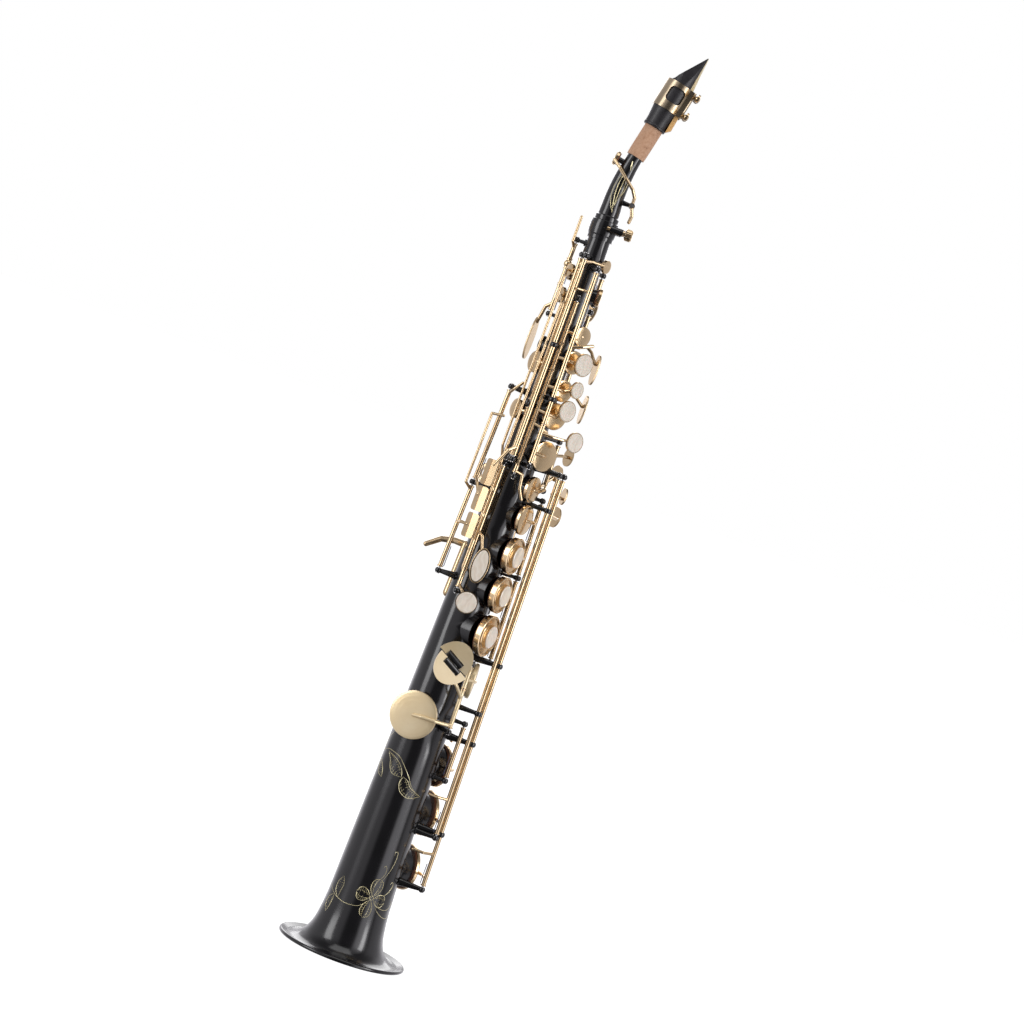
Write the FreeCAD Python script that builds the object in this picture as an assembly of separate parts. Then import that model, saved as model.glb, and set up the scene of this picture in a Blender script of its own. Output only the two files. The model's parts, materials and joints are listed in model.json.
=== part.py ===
import FreeCAD, Part
import math
import os

# Soprano saxophone, straight body.  Millimetres.
# Origin: centre of the bell rim's lower plane.  +Z runs up the body to the neck.
# -Y is the front, where the stack keys lie, and +X is the player's left.
# Places round the body are (radius, angle, height): the angle runs from -Y towards +X.

V = FreeCAD.Vector

# ---- driving dimensions -------------------------------------------------------------
BODY_TOP = 530.0
BODY_R0 = 23.9            # outer radius of the cone, carried down to the rim plane
BODY_TAPER = 0.0298       # loss of radius per millimetre of height
WALL = 1.2
RIM_R = 46.4
RIM_BEAD = 1.4
CHIMNEY_RISE = 2.0        # rise of a tone hole's edge above the body
CHIMNEY_WALL = 1.0
HOLE_MARGIN = 2.9         # cup radius less tone hole radius
SEAT_GAP = 0.05           # closed pad to tone hole edge
ROD_R = 0.9
ROD_FIT = 0.05
TUBE_R = 1.6
POST_FIT = 0.02
POST_R = 2.4
TUBE_GAP = 0.15
POST_HALF = 1.7           # half the width between the flats of a post's ball
POST_SLACK = 0.1          # guide post to hinge tube
ROD_END = 1.6             # a rod's end beyond the middle of its post
SPRING_LENGTH = 15.0
SPRING_R = 0.3

PAD_THICK = 2.7
CUP_EDGE = 0.7
DOME = 0.075              # rise of a cup's crown per millimetre of its radius
ARM_SINK = 0.9            # depth of an arm's end below a cup's crown
PLATE = 1.6               # thickness of an oval finger touch
PLATE_EASE = 0.5

FOOT_TOUCH = (32.5, -50, 220)
FOOT_TURN = -30           # turn of the split between the two little-finger touches
FOOT_HALVES = (13.2, 16.2)
FOOT_PLATE = 1.7
TOUCH_SPLIT = 0.9         # from the middle of the touch to each half
ROLLER_LENGTH = 14.0
ROLLER_OFFSET = 2.75
ROLLER_R = 2.1
ROLLER_BORE_R = 0.55
ROLLER_PIN_R = 0.5

SIDE_TOUCH = (9.6, 17.6)  # width and height of a folded side touch
SIDE_TOUCH_PLACE = (28.0, -93)
SIDE_FOLD = 14            # lean of each facet

STRAP_Z = 350
STRAP_BORE = 10.0
RING_WIDTH = 3.0
RING_WALL = 2.4
RING_STAND = 8.2          # body surface to the middle of the ring
HOOK_HEIGHTS = (262, 298)
HOOK_ANGLE = -160
THUMB_REST_Z = 448

NECK_LEAN = 12.5
NECK_HEADING = 33.0       # the neck leans towards this angle
NECK_STRAIGHT = 559.0     # where the neck starts to bend
NECK_BEND_END = 591.0
TENON_R = 7.52
RECEIVER_R = 7.6
CORK_R = 6.8
CLAMP_HEADING = -57
CLAMP_R = 2.6
CLAMP_REACH = 11.2        # body axis to the axis of the neck screw
CLAMP_Z = 539
PIP_Z = 586.0             # octave vent, along the neck
PIP_TOP = 9.0             # neck axis to the vent's edge
NECK_PIVOT = (13.2, 560.0)  # across and along the neck

MOUTH_START = 617.0       # distances along the neck line
MOUTH_TIP = 677.3
TABLE_START = 8.1         # height of the reed table above the axis at the shank end
TABLE_END = 6.1
REED_TURN = 3.0           # turn of the mouthpiece on the cork
REED_THICK = 3.2
LIG_LOW = 14.6            # along the mouthpiece
LIG_HIGH = 35.2
LIG_R = 10.3
LIG_BRIDGE = (12.6, 14.0)  # reach and width of the band's flat bridge over the reed
LIG_WALL = 0.9
LIG_X = 14.6
LIG_LUG_Y = 3.4
LIG_SCREWS = (17.6, 32.4)
LIG_WINDOW = (-5.6, 6.2, 20.4, 31.6)  # from the back to the reed side, and along the mouthpiece


# ---- places and directions ----------------------------------------------------------
def out(theta):
    a = math.radians(theta)
    return V(math.sin(a), -math.cos(a), 0)


def side(theta):
    a = math.radians(theta)
    return V(math.cos(a), math.sin(a), 0)


def at(r, theta, z):
    return out(theta) * r + V(0, 0, z)


def body_r(z):
    return BODY_R0 - BODY_TAPER * z


def frame(origin, x, z):
    """Placement whose local X and Z axes point along x and z."""
    return FreeCAD.Placement(origin, FreeCAD.Rotation(x, z.cross(x), z, "ZXY"))


def turned(axis, angle):
    """Placement that only turns about a local axis."""
    return FreeCAD.Placement(V(0, 0, 0), FreeCAD.Rotation(axis, angle))


def rod_at(hinge, z):
    """Point of a hinge line at a height."""
    low, high = [at(*end) for end in HINGES[hinge][:2]]
    return low + (high - low) * ((z - low.z) / (high.z - low.z))


def rod_axis(hinge):
    return (rod_at(hinge, HINGES[hinge][1][2]) - rod_at(hinge, HINGES[hinge][0][2])).normalize()


# ---- hinge lines: bottom end, top end, posts that only guide the tube ----------------
HINGES = {
    "low_bb": ((38.9, 31, 60), (33.7, 31, 366), (101, 168, 226)),
    "low_b": ((35.65, 25, 98), (30.6, 25, 366), (190, 340)),
    "low_csharp": ((28.5, 22, 138), (28, 22, 180), ()),
    "foot": ((27, -14, 172.5), (26, -14, 223), ()),
    "lower_stack": ((29, 39, 226), (25.5, 41, 345), (288.3,)),
    "csharp_lever": ((25.5, 84, 163), (21, 84, 352), (258,)),
    "gsharp": ((24.5, 52, 352), (23.5, 52, 388), ()),
    "upper_front": ((26, -39, 365), (24, -42.5, 509), (414,)),
    "upper_stack": ((20, -57, 355), (15.6, -57, 486), ()),
    "side_cups": ((19.5, -75, 366), (14.5, -88, 515.5), (406,)),
    "high_e": ((24, -68, 366), (19, -71, 515.5), (450,)),
    "side_levers": ((28.5, -127, 275.5), (24, -127, 413), (341.5,)),
    "high_levers": ((22.5, -83, 267), (20.3, -83, 362), ()),
    "octave": ((15.6, -155, 470), (14.9, -155, 525), ()),
    "palm_d": ((18.6, 78, 420), (17.6, 78, 449), ()),
    "palm_eb": ((17.4, 80, 456), (16.6, 80, 481), ()),
    "palm_f": ((15.6, 75, 487), (15, 75, 508), ()),
}

# ---- tone holes: angle, height, cup radius -------------------------------------------
HOLES = {
    "low_bb": (73, 68, 16.5),
    "low_b": (73, 109, 16.5),
    "low_csharp": (66, 144.5, 15.5),
    "low_c": (-80, 176, 17),
    "low_eb": (33, 210, 13),
    "d": (0, 244, 15),
    "e": (0, 274, 13.3),
    "f": (0, 302.5, 13.3),
    "fsharp": (0, 328.5, 10.8),
    "gsharp": (5, 350.3, 9.5),
    "g": (-7, 375, 10.8),
    "a": (-10, 403.5, 9.6),
    "bis": (-12, 422, 7.8),
    "b": (-9, 443, 8.3),
    "c": (-9, 462, 7),
    "side_bb": (-117, 400, 7),
    "side_c": (-113, 435, 7.8),
    "high_e": (0, 513.5, 4.7),
    "palm_d": (118, 445, 7.5),
    "palm_eb": (120, 470, 7),
    "palm_f": (35, 492, 6.5),
    "high_fsharp": (-120, 485, 5.8),
    "high_g": (-120, 503, 5),
    "octave": (175, 500, 3),
}


# ---- solid helpers ------------------------------------------------------------------
def fuse(solids):
    result = solids[0]
    if len(solids) > 1:
        result = result.multiFuse(solids[1:])
    return result.removeSplitter()


def cylinder(p, q, r):
    return Part.makeCylinder(r, (q - p).Length, p, q - p)


def pipe(p, q, ro, ri):
    return cylinder(p, q, ro).cut(cylinder(p, q, ri))


def stalk(points, radii):
    """Round arm through points, with a ball at each point and a tapered link between."""
    solids = [Part.makeSphere(r, p) for p, r in zip(points, radii)]
    for p, q, r, s in zip(points, points[1:], radii, radii[1:]):
        if abs(r - s) < 1e-6:
            solids.append(cylinder(p, q, r))
        else:
            solids.append(Part.makeCone(r, s, (q - p).Length, p, q - p))
    return fuse(solids)


def revolve(outline, place):
    """Solid of revolution about the local Z axis, from (radius, height) pairs."""
    wire = Part.makePolygon([V(r, 0, h) for r, h in outline + outline[:1]])
    solid = Part.Face(wire).revolve(V(0, 0, 0), V(0, 0, 1), 360)
    solid.Placement = place
    return solid


def oval(place, a, b, thick, crown=0.0):
    """Oval plate with half axes a and b; its top edge is eased by the crown."""
    ring = Part.Ellipse(V(0, 0, 0), max(a, b), min(a, b)).toShape()
    face = Part.Face(Part.Wire(ring))
    solid = face.extrude(V(0, 0, thick))
    if crown:
        solid = solid.makeFillet(crown, [e for e in solid.Edges if e.BoundBox.ZMin > thick - 1e-6])
    if b > a:
        solid.rotate(V(0, 0, 0), V(0, 0, 1), 90)
    solid.Placement = place.multiply(solid.Placement)
    return solid


def tube_on(hinge, z0, z1):
    """Hinge tube of a key, still without its bore."""
    return cylinder(rod_at(hinge, z0 + TUBE_GAP), rod_at(hinge, z1 - TUBE_GAP), TUBE_R)


def folded_plate(place, width, height, fold):
    """Side touch: two flat facets that meet in a fold along local Y, with eased corners."""
    facets = []
    for sign in (-1, 1):
        facet = Part.makeBox(width / 2 + 0.2, height, 1.4, V(-0.2, -height / 2, 0))
        far = [e for e in facet.Edges if e.BoundBox.XMin > width / 2 - 0.3 and e.BoundBox.ZLength > 1]
        facet = facet.makeFillet(2.0, far)
        if sign < 0:
            facet = facet.mirror(V(0, 0, 0), V(1, 0, 0))
        facet.rotate(V(0, 0, 0), V(0, 1, 0), sign * fold)
        facets.append(facet)
    solid = facets[0].fuse(facets[1])
    solid.Placement = place.multiply(solid.Placement)
    return solid


# ---- tone holes, pads and cups --------------------------------------------------------
def seat_r(name):
    """Distance from the body axis to the edge of a tone hole."""
    return body_r(HOLES[name][1]) + CHIMNEY_RISE


def seat(name):
    theta, z, _ = HOLES[name]
    return frame(at(seat_r(name), theta, z), side(theta), out(theta))


def pad(name):
    r = HOLES[name][2] - CUP_EDGE - 0.05
    outline = [(0, SEAT_GAP), (r - 0.4, SEAT_GAP), (r, SEAT_GAP + 0.4), (r, PAD_THICK), (0, PAD_THICK)]
    return revolve(outline, seat(name))


def cup_top(name):
    """Point on the crown of a cup."""
    theta, z, r = HOLES[name]
    return at(seat_r(name) + PAD_THICK + 0.9 + DOME * r, theta, z)


def cup(name):
    r = HOLES[name][2]
    inner = r - CUP_EDGE
    crown = PAD_THICK + 0.9 + DOME * r
    dome = [(r * math.sin(math.radians(t)), PAD_THICK + 0.7 + (crown - PAD_THICK - 0.7)
             * math.cos(math.radians(t))) for t in (80, 65, 50, 35, 20)]
    outline = [(inner, 1.0), (r - 0.2, 1.0), (r, 1.25), (r, PAD_THICK + 0.3)] + dome
    outline += [(0, crown), (0, PAD_THICK), (inner, PAD_THICK)]
    return revolve(outline, seat(name))


def dish_cup(name, ring):
    """Cup with a raised rim, a hollow round its middle and a boss of radius ring for a pearl."""
    r = HOLES[name][2]
    inner = r - CUP_EDGE
    outline = [(inner, 1.0), (r - 0.2, 1.0), (r, 1.25), (r, 4.7), (r - 0.35, 5.05), (r - 0.9, 5.05),
               (r - 1.3, 4.7), (r - 1.8, 3.9), (ring + 0.5, 3.7), (ring + 0.1, 4.1), (ring - 0.2, 5.6),
               (0, 5.6), (0, PAD_THICK), (inner, PAD_THICK)]
    return revolve(outline, seat(name))


def holder(place, r, depth):
    """Dish that holds a pearl touch: its floor is at local 0."""
    outline = [(0, -depth), (r * 0.55, -depth), (r * 0.9, -0.6), (r, 0), (r, 1.3)]
    outline += [(r - 0.6, 1.3), (r - 0.6, 0.4), (0, 0.4)]
    return revolve(outline, place)


def pearl(place, r):
    """Pearl set in a holder of radius r."""
    p = r - 0.65
    outline = [(0, 0.4), (p, 0.4), (p, 1.5), (p * 0.92, 1.95), (p * 0.7, 1.75), (p * 0.35, 1.55), (0, 1.5)]
    return revolve(outline, place)


# ---- fixed parts of the body --------------------------------------------------------
FLARE_TOP = 46.0          # where the profile leaves the straight cone's line
RUN_IN = (FLARE_TOP, 43.0, 40.0)    # heights at which the flare still follows that line
FLARE = [(24.0, 24.2), (17.0, 25.4), (11.6, 27.1), (6.7, 29.9), (2.5, 35.3), (RIM_BEAD, 41.0)]


def chimney(name, wall, above):
    """Plug through a tone hole, widened by a wall and carried on above its seat."""
    theta, z, r = HOLES[name]
    root = at(body_r(z) * 0.2, theta, z)
    return cylinder(root, at(seat_r(name) + above, theta, z), r - HOLE_MARGIN + wall)


def body_tube():
    """Cone, bell flare, rolled rim and tone hole chimneys, bored right through."""
    rim = RIM_R - RIM_BEAD
    outer = [(z, body_r(z)) for z in RUN_IN] + FLARE
    foot = V(body_r(FLARE_TOP), 0, FLARE_TOP)
    inset = V(WALL, 0, 0)
    shell = Part.Wire([
        Part.LineSegment(V(body_r(BODY_TOP), 0, BODY_TOP), foot).toShape(),
        curve([V(r, 0, z) for z, r in outer]),
        Part.LineSegment(V(41.0, 0, RIM_BEAD), V(rim, 0, 2 * RIM_BEAD)).toShape(),
        Part.Arc(V(rim, 0, 2 * RIM_BEAD), V(RIM_R, 0, RIM_BEAD), V(rim, 0, 0)).toShape(),
        Part.LineSegment(V(rim, 0, 0), V(42.0, 0, 0)).toShape(),
        curve([V(42.0, 0, 0)] + [V(r - WALL, 0, z) for z, r in reversed(outer[:-1])]),
        Part.LineSegment(foot - inset, V(body_r(BODY_TOP) - WALL, 0, BODY_TOP)).toShape(),
        Part.LineSegment(V(body_r(BODY_TOP) - WALL, 0, BODY_TOP), V(body_r(BODY_TOP), 0, BODY_TOP)).toShape(),
    ])
    wall = Part.Face(shell).revolve(V(0, 0, 0), V(0, 0, 1), 360)
    bore_length = BODY_TOP - FLARE_TOP
    bore = Part.makeCone(body_r(FLARE_TOP) - WALL, body_r(BODY_TOP) - WALL, bore_length, V(0, 0, FLARE_TOP))
    chimneys = [chimney(name, CHIMNEY_WALL, 0) for name in HOLES]
    holes = [chimney(name, 0, 1) for name in HOLES]
    return wall.fuse(chimneys).cut(bore).cut(Part.makeCompound(holes))


def curve(points):
    line = Part.BSplineCurve()
    line.interpolate(points)
    return line.toShape()


def skin():
    """Filled outside of the body, used to trim what is soldered on to it."""
    return Part.makeCone(body_r(30), body_r(BODY_TOP), BODY_TOP - 30, V(0, 0, 30))


# radius of a post's stem at its foot and at its ball, where it isn't the usual 1.8 and 1.2
POST_STEMS = {
    "low_bb": (3.0, 1.5),
    "low_b": (2.2, 1.4),
    "side_levers": (2.6, 1.5),
    "octave": (1.6, 1.1),
}


def ball_post(hinge, z, guide):
    """Post with a foot, a stem and a ball that holds a rod, or guides a hinge tube."""
    p = rod_at(hinge, z)
    flat = V(p.x, p.y, 0)
    heading = flat.normalize()
    foot = heading * (body_r(z) - 0.8) + V(0, 0, p.z)
    ball_r = POST_R + 0.5 if guide else POST_R
    base, tip = POST_STEMS.get(hinge, (1.8, 1.2))
    parts = [cylinder(foot, foot + heading * 1.6, base + 0.9),
             Part.makeCone(base, tip, (p - foot).Length, foot, p - foot),
             Part.makeSphere(ball_r, p)]
    axis = rod_axis(hinge)
    bore = TUBE_R + POST_SLACK if guide else ROD_R + POST_FIT
    slab = cylinder(p - axis * POST_HALF, p + axis * POST_HALF, 40)
    return fuse(parts).common(slab_for(foot, slab, p)).cut(cylinder(p - axis * 5, p + axis * 5, bore))


def slab_for(foot, slab, p):
    """Keeps the stem whole and flattens only the ball's two faces."""
    stem = cylinder(foot, p - (p - foot).normalize() * POST_R, 3)
    return stem.fuse(slab)


def end_heights(hinge):
    low, high = HINGES[hinge][:2]
    return low[2], high[2]


def posts():
    solids = []
    for hinge in HINGES:
        for z in end_heights(hinge):
            solids.append(ball_post(hinge, z, False))
        for z in HINGES[hinge][2]:
            solids.append(ball_post(hinge, z, True))
    trims = [skin()] + [chimney(name, CHIMNEY_WALL, 0) for name in HOLES]
    trimmed = []
    for solid in solids:
        near = [t for t in trims if t.BoundBox.intersect(solid.BoundBox)]
        trimmed.append(solid.cut(near))
    return Part.makeCompound(trimmed)


def pivot_rods():
    rods = []
    for hinge in HINGES:
        low, high = end_heights(hinge)
        rods.append(cylinder(rod_at(hinge, low - ROD_END), rod_at(hinge, high + ROD_END), ROD_R))
    return Part.makeCompound(rods)


# ---- keys ---------------------------------------------------------------------------
# name: hinge, tube bottom, tube top, opening angle, whether it stands open at rest
KEYS = {
    "low_bb_key": ("low_bb", 62.5, 363.5, 9.0, True),
    "low_b_key": ("low_b", 100.5, 363.5, 9.0, True),
    "low_csharp_key": ("low_csharp", 140.5, 177.5, 10.0, False),
    "low_c_key": ("foot", 175, 204, 9.0, True),
    "low_eb_key": ("foot", 204, 220.5, 9.0, False),
    "d_key": ("lower_stack", 228.5, 257, 9.0, True),
    "e_key": ("lower_stack", 257, 286, 9.0, True),
    "f_key": ("lower_stack", 290.5, 314, 9.0, True),
    "fsharp_key": ("lower_stack", 314, 342.5, 9.0, True),
    "gsharp_key": ("gsharp", 354.5, 385.5, 9.0, False),
    "g_key": ("upper_front", 367.5, 396, 9.0, True),
    "front_f_key": ("upper_front", 396, 506.5, 5.0, False),
    "link_key": ("upper_stack", 357.5, 397, 9.0, True),
    "a_key": ("upper_stack", 397, 415, 9.0, True),
    "bis_key": ("upper_stack", 415, 433, 9.0, True),
    "b_key": ("upper_stack", 433, 453, 9.0, True),
    "c_key": ("upper_stack", 453, 483.5, 9.0, True),
    "side_bb_key": ("side_cups", 368.5, 403.5, 10.0, False),
    "side_c_key": ("side_cups", 408.5, 513, 10.0, False),
    "high_e_key": ("high_e", 368.5, 513, 9.0, False),
    "side_bb_lever": ("side_levers", 278, 339, 8.0, False),
    "side_c_lever": ("side_levers", 344, 410.5, 8.0, False),
    "high_g_key": ("high_levers", 269.5, 283, 9.0, False),
    "high_fsharp_key": ("high_levers", 283, 359.5, 9.0, False),
    "csharp_lever": ("csharp_lever", 165.5, 349.5, 7.0, False),
    "palm_d_key": ("palm_d", 422.5, 446.5, 10.0, False),
    "palm_eb_key": ("palm_eb", 458.5, 478.5, 10.0, False),
    "palm_f_key": ("palm_f", 489.5, 505.5, 10.0, False),
    "octave_thumb_lever": ("octave", 472.5, 492, 9.0, False),
    "body_octave_key": ("octave", 492, 522.5, 8.0, False),
}


def swing(key):
    """Axis through a key's rod, turned so that a positive angle lifts its cup."""
    hinge, bottom, top, angle, stands_open = KEYS[key]
    middle = rod_at(hinge, (bottom + top) / 2)
    axis = rod_axis(hinge)
    lifted = at(LIFTS[key][0], LIFTS[key][1], middle.z)
    if axis.cross(lifted - middle).dot(out(LIFTS[key][1])) < 0:
        axis = axis * -1
    return middle, axis


def finish(key, solids, loose=()):
    """Fuses a key, bores it for its rod, cuts it clear of the body and sets it at rest."""
    hinge, _, _, angle, stands_open = KEYS[key]
    low, high = end_heights(hinge)
    bore = cylinder(rod_at(hinge, low - 60), rod_at(hinge, high + 160), ROD_R + ROD_FIT)
    body = fuse([solid.cut(bore) for solid in solids])
    for inset in loose:
        body = body.cut(inset)
    body = max(body.Solids, key=lambda solid: solid.Volume)
    shape = Part.makeCompound([body] + list(loose))
    if stands_open:
        point, axis = swing(key)
        shape.rotate(point, axis, angle)
    return shape


def touch_frame(place, lean=0.0):
    """Frame of a finger touch: local Z points outwards and local Y up the body."""
    r, theta, z = place
    f = frame(at(r, theta, z), side(theta), out(theta))
    return f.multiply(turned(V(0, 1, 0), lean))


# a point (radius, angle) on the lifting side of each key
LIFTS = {
    "low_bb_key": (28, 73),
    "low_b_key": (26, 73),
    "low_csharp_key": (25, 66),
    "low_c_key": (25, -80),
    "low_eb_key": (23, 33),
    "d_key": (23, 0),
    "e_key": (22, 0),
    "f_key": (22, 0),
    "fsharp_key": (20, 0),
    "gsharp_key": (18, 5),
    "g_key": (18, -7),
    "front_f_key": (22, -70),
    "link_key": (20, -20),
    "a_key": (18, -10),
    "bis_key": (17, -12),
    "b_key": (16, -9),
    "c_key": (15, -9),
    "side_bb_key": (16, -117),
    "side_c_key": (16, -113),
    "high_e_key": (14, 0),
    "side_bb_lever": (30, -150),
    "side_c_lever": (30, -150),
    "high_g_key": (18, -120),
    "high_fsharp_key": (18, -120),
    "csharp_lever": (20, 110),
    "palm_d_key": (16, 118),
    "palm_eb_key": (16, 120),
    "palm_f_key": (15, 35),
    "octave_thumb_lever": (16, -130),
    "body_octave_key": (14, 175),
}


def simple_key(key, hole, arm, extra=(), loose=(), arm_r=1.3):
    """Hinge tube, an arm through the given places, and a cup with its pad."""
    hinge, bottom, top = KEYS[key][:3]
    crown = cup_top(hole)
    first = rod_at(hinge, arm[0])
    points = [first] + [at(*p) for p in arm[1:]] + [crown - out(HOLES[hole][0]) * ARM_SINK]
    solids = [tube_on(hinge, bottom, top), cup(hole), stalk(points, [arm_r] * len(points))]
    return finish(key, solids + list(extra), [pad(hole)] + list(loose))


def branch(hinge, z, places, r=1.2):
    """Arm from a hinge tube through places round the body."""
    points = [rod_at(hinge, z)] + [at(*p) for p in places]
    return stalk(points, [r] * len(points))


def riser(hole, place, r=1.5):
    """Stem from a cup's crown to the floor of a pearl holder."""
    crown = cup_top(hole) - out(HOLES[hole][0]) * 0.5
    return cylinder(crown, at(*place) + out(place[1]) * 0.2, r)


def low_bb_key():
    touch = touch_frame((41.0, 69, 337), 8)
    return simple_key("low_bb_key", "low_bb", [68, (35.5, 48, 68), (30.5, 62, 68)], [
        branch("low_bb", 337, [(37.5, 45, 336.5), (40.8, 60, 337), (41.5, 68, 337)]),
        oval(touch, 6.0, 7.5, PLATE, PLATE_EASE),
        branch("low_bb", 86, [(34, 14, 86), (27, 8, 86)], 1.1),
    ])


def low_b_key():
    touch = touch_frame((37.6, 56, 353), 4)
    return simple_key("low_b_key", "low_b", [109, (30.8, 38, 109), (29.0, 55, 109)], [
        branch("low_b", 352, [(29.2, 31, 352), (31.5, 41, 352), (36.6, 51, 351), (38.2, 56, 351)]),
        oval(touch, 5.6, 6.2, PLATE, PLATE_EASE),
        branch("low_b", 126, [(30, 12, 126), (24, 8, 126)], 1.1),
    ])


def low_csharp_key():
    return simple_key("low_csharp_key", "low_csharp", [146, (30.3, 36, 146), (29.5, 50, 145)])


def foot_touch_frame():
    """Shared frame of the two little-finger touches; local X runs along their split."""
    return touch_frame(FOOT_TOUCH).multiply(turned(V(0, 0, 1), FOOT_TURN))


def half_touch(upper):
    """Half of an oval touch, notched for its roller and with the roller's pin across the notch."""
    sign = 1 if upper else -1
    disc = oval(FreeCAD.Placement(), *FOOT_HALVES, FOOT_PLATE)
    notch = ROLLER_OFFSET + ROLLER_R + 0.3
    keep = Part.makeBox(60, 30, 10, V(-30, TOUCH_SPLIT if upper else -30 - TOUCH_SPLIT, -4))
    window = Part.makeBox(ROLLER_LENGTH + 0.4, 2 * notch, 10, V(-ROLLER_LENGTH / 2 - 0.2, -notch, -4))
    half = ROLLER_LENGTH / 2 + 1.5
    y = sign * ROLLER_OFFSET
    pin = cylinder(V(-half, y, FOOT_PLATE / 2), V(half, y, FOOT_PLATE / 2), ROLLER_PIN_R)
    solid = disc.common(keep).cut(window).fuse(pin)
    solid.Placement = foot_touch_frame()
    return solid


def roller(upper):
    """Roller on its half's pin."""
    y = ROLLER_OFFSET if upper else -ROLLER_OFFSET
    half = ROLLER_LENGTH / 2
    solid = pipe(V(-half, y, FOOT_PLATE / 2), V(half, y, FOOT_PLATE / 2), ROLLER_R, ROLLER_BORE_R)
    solid = solid.makeFillet(0.4, [e for e in solid.Edges if e.Length > 2 * ROLLER_R * 3])
    solid.Placement = foot_touch_frame()
    if not upper:
        point, axis = swing("low_c_key")
        solid.rotate(point, axis, KEYS["low_c_key"][3])
    return solid


def low_c_key():
    arm = [177.5, (30.5, -28, 177.5), (31.5, -48, 177.5), (28.5, -66, 177)]
    return simple_key("low_c_key", "low_c", arm, [
        branch("foot", 197, [(29.5, -22, 199), (31.8, -36, 205.2), (33.1, -46, 209.7)]), half_touch(False)])


def low_eb_key():
    return simple_key("low_eb_key", "low_eb", [211, (26.0, 4, 211), (25.0, 18, 210.5)], [
        branch("foot", 217.6, [(29.5, -20, 220), (32.2, -31, 224.5), (33.3, -42, 227.3)]), half_touch(True)])


def low_c_roller():
    return roller(False)


def low_eb_roller():
    return roller(True)


def stack_key(key, hole, z, pearl_r):
    """Lower stack key: dish cup with a pearl set in its middle."""
    hinge, bottom, top = KEYS[key][:3]
    theta, height, r = HOLES[hole]
    centre = seat_r(hole) + 5.6
    place = touch_frame((centre, theta, height))
    rim = at(seat_r(hole) + 5.4, theta + 32, height)
    arm = stalk([rod_at(hinge, z), at(seat_r(hole) + 7.6, 29, height), rim], [1.3, 1.3, 1.3])
    solids = [tube_on(hinge, bottom, top), dish_cup(hole, pearl_r), arm, holder(place, pearl_r, 0.5)]
    return finish(key, solids, [pad(hole), pearl(place, pearl_r)])


def d_key():
    return stack_key("d_key", "d", 244, 8.6)


def e_key():
    return stack_key("e_key", "e", 274, 8.2)


def f_key():
    return stack_key("f_key", "f", 302.5, 8.2)


def fsharp_key():
    return simple_key("fsharp_key", "fsharp", [328.5, (23.5, 22, 328.5)])


def gsharp_key():
    touch = touch_frame((37.5, 66, 380), 4)
    return simple_key("gsharp_key", "gsharp", [356, (23.5, 34, 353), (21, 20, 350.3)], [
        branch("gsharp", 378, [(30, 57, 379.5), (37.0, 63, 380)]),
        oval(touch, 5.2, 6.6, PLATE, PLATE_EASE),
    ])


def g_key():
    touch = touch_frame((31.6, 13, 391), -20)
    return simple_key("g_key", "g", [375, (23.5, -24, 375)], [
        branch("upper_front", 389.5, [(28.5, -22, 389.5), (29.5, -5, 390), (30.8, 8, 391)], 1.0),
        holder(touch, 7.4, 1.2),
    ], [pearl(touch, 7.4)])


def upper_key(key, hole, arm_z, touch_place, r):
    """Upper stack key: arm under the front rod, cup, and a raised pearl."""
    touch = touch_frame(touch_place)
    theta, z, _ = HOLES[hole]
    height = seat_r(hole) + PAD_THICK + 2.0
    return simple_key(key, hole, [arm_z, (height + 1.0, -40, z), (height + 0.6, -24, z)], [
        riser(hole, touch_place), holder(touch, r, 1.4)], [pearl(touch, r)], 1.2)


def a_key():
    return upper_key("a_key", "a", 404, (24.6, -6, 409.5), 7.6)


def bis_key():
    return upper_key("bis_key", "bis", 422, (25.2, -3, 425.5), 6.0)


def b_key():
    return upper_key("b_key", "b", 443, (24.0, -5, 443.5), 8.2)


def c_key():
    return simple_key("c_key", "c", [462, (15.5, -38, 462)], arm_r=1.1)


def link_key():
    arm = branch("upper_stack", 359, [(23.5, -42, 358), (23.0, -38, 348), (22.0, -28, 341.5)], 1.1)
    tail = branch("upper_stack", 394.5, [(20.0, -38, 393), (18.6, -20, 391)], 1.0)
    return finish("link_key", [tube_on("upper_stack", 357.5, 397), arm, tail])


def front_f_key():
    touch = touch_frame((31.0, -4, 460.5), 6)
    arm = branch("upper_front", 452, [(28.5, -26, 455), (29.6, -12, 458)])
    tail = branch("upper_front", 492, [(24.5, -52, 492), (22.5, -62, 492)], 1.0)
    hinge, bottom, top = KEYS["front_f_key"][:3]
    return finish("front_f_key", [tube_on(hinge, bottom, top), arm, tail, oval(touch, 5.0, 11.0, 1.5, 0.5)])


def side_bb_key():
    return simple_key("side_bb_key", "side_bb", [400, (18.5, -95, 400)], arm_r=1.1)


def side_c_key():
    return simple_key("side_c_key", "side_c", [436, (17.3, -98, 435.5)], arm_r=1.1)


def high_e_key():
    touch = touch_frame((28.5, -92, 352))
    return simple_key("high_e_key", "high_e", [511.3, (16.3, -50, 513), (14.6, -20, 513.5)], [
        branch("high_e", 375, [(28.2, -76, 371), (28.9, -88, 358)]),
        folded_plate(touch, 9.6, 18.6, SIDE_FOLD),
    ], arm_r=1.1)


def side_bb_lever():
    hinge, bottom, top = KEYS["side_bb_lever"][:3]
    touch = touch_frame((*SIDE_TOUCH_PLACE, 313))
    bar = branch(hinge, 336, [(33, -121, 340), (32, -121, 391), (26.5, -108, 392)], 1.0)
    arm = branch(hinge, 312, [(29.0, -110, 313), (28.4, -98, 313)])
    plate = folded_plate(touch, *SIDE_TOUCH, SIDE_FOLD)
    return finish("side_bb_lever", [tube_on(hinge, bottom, top), bar, arm, plate])


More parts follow.
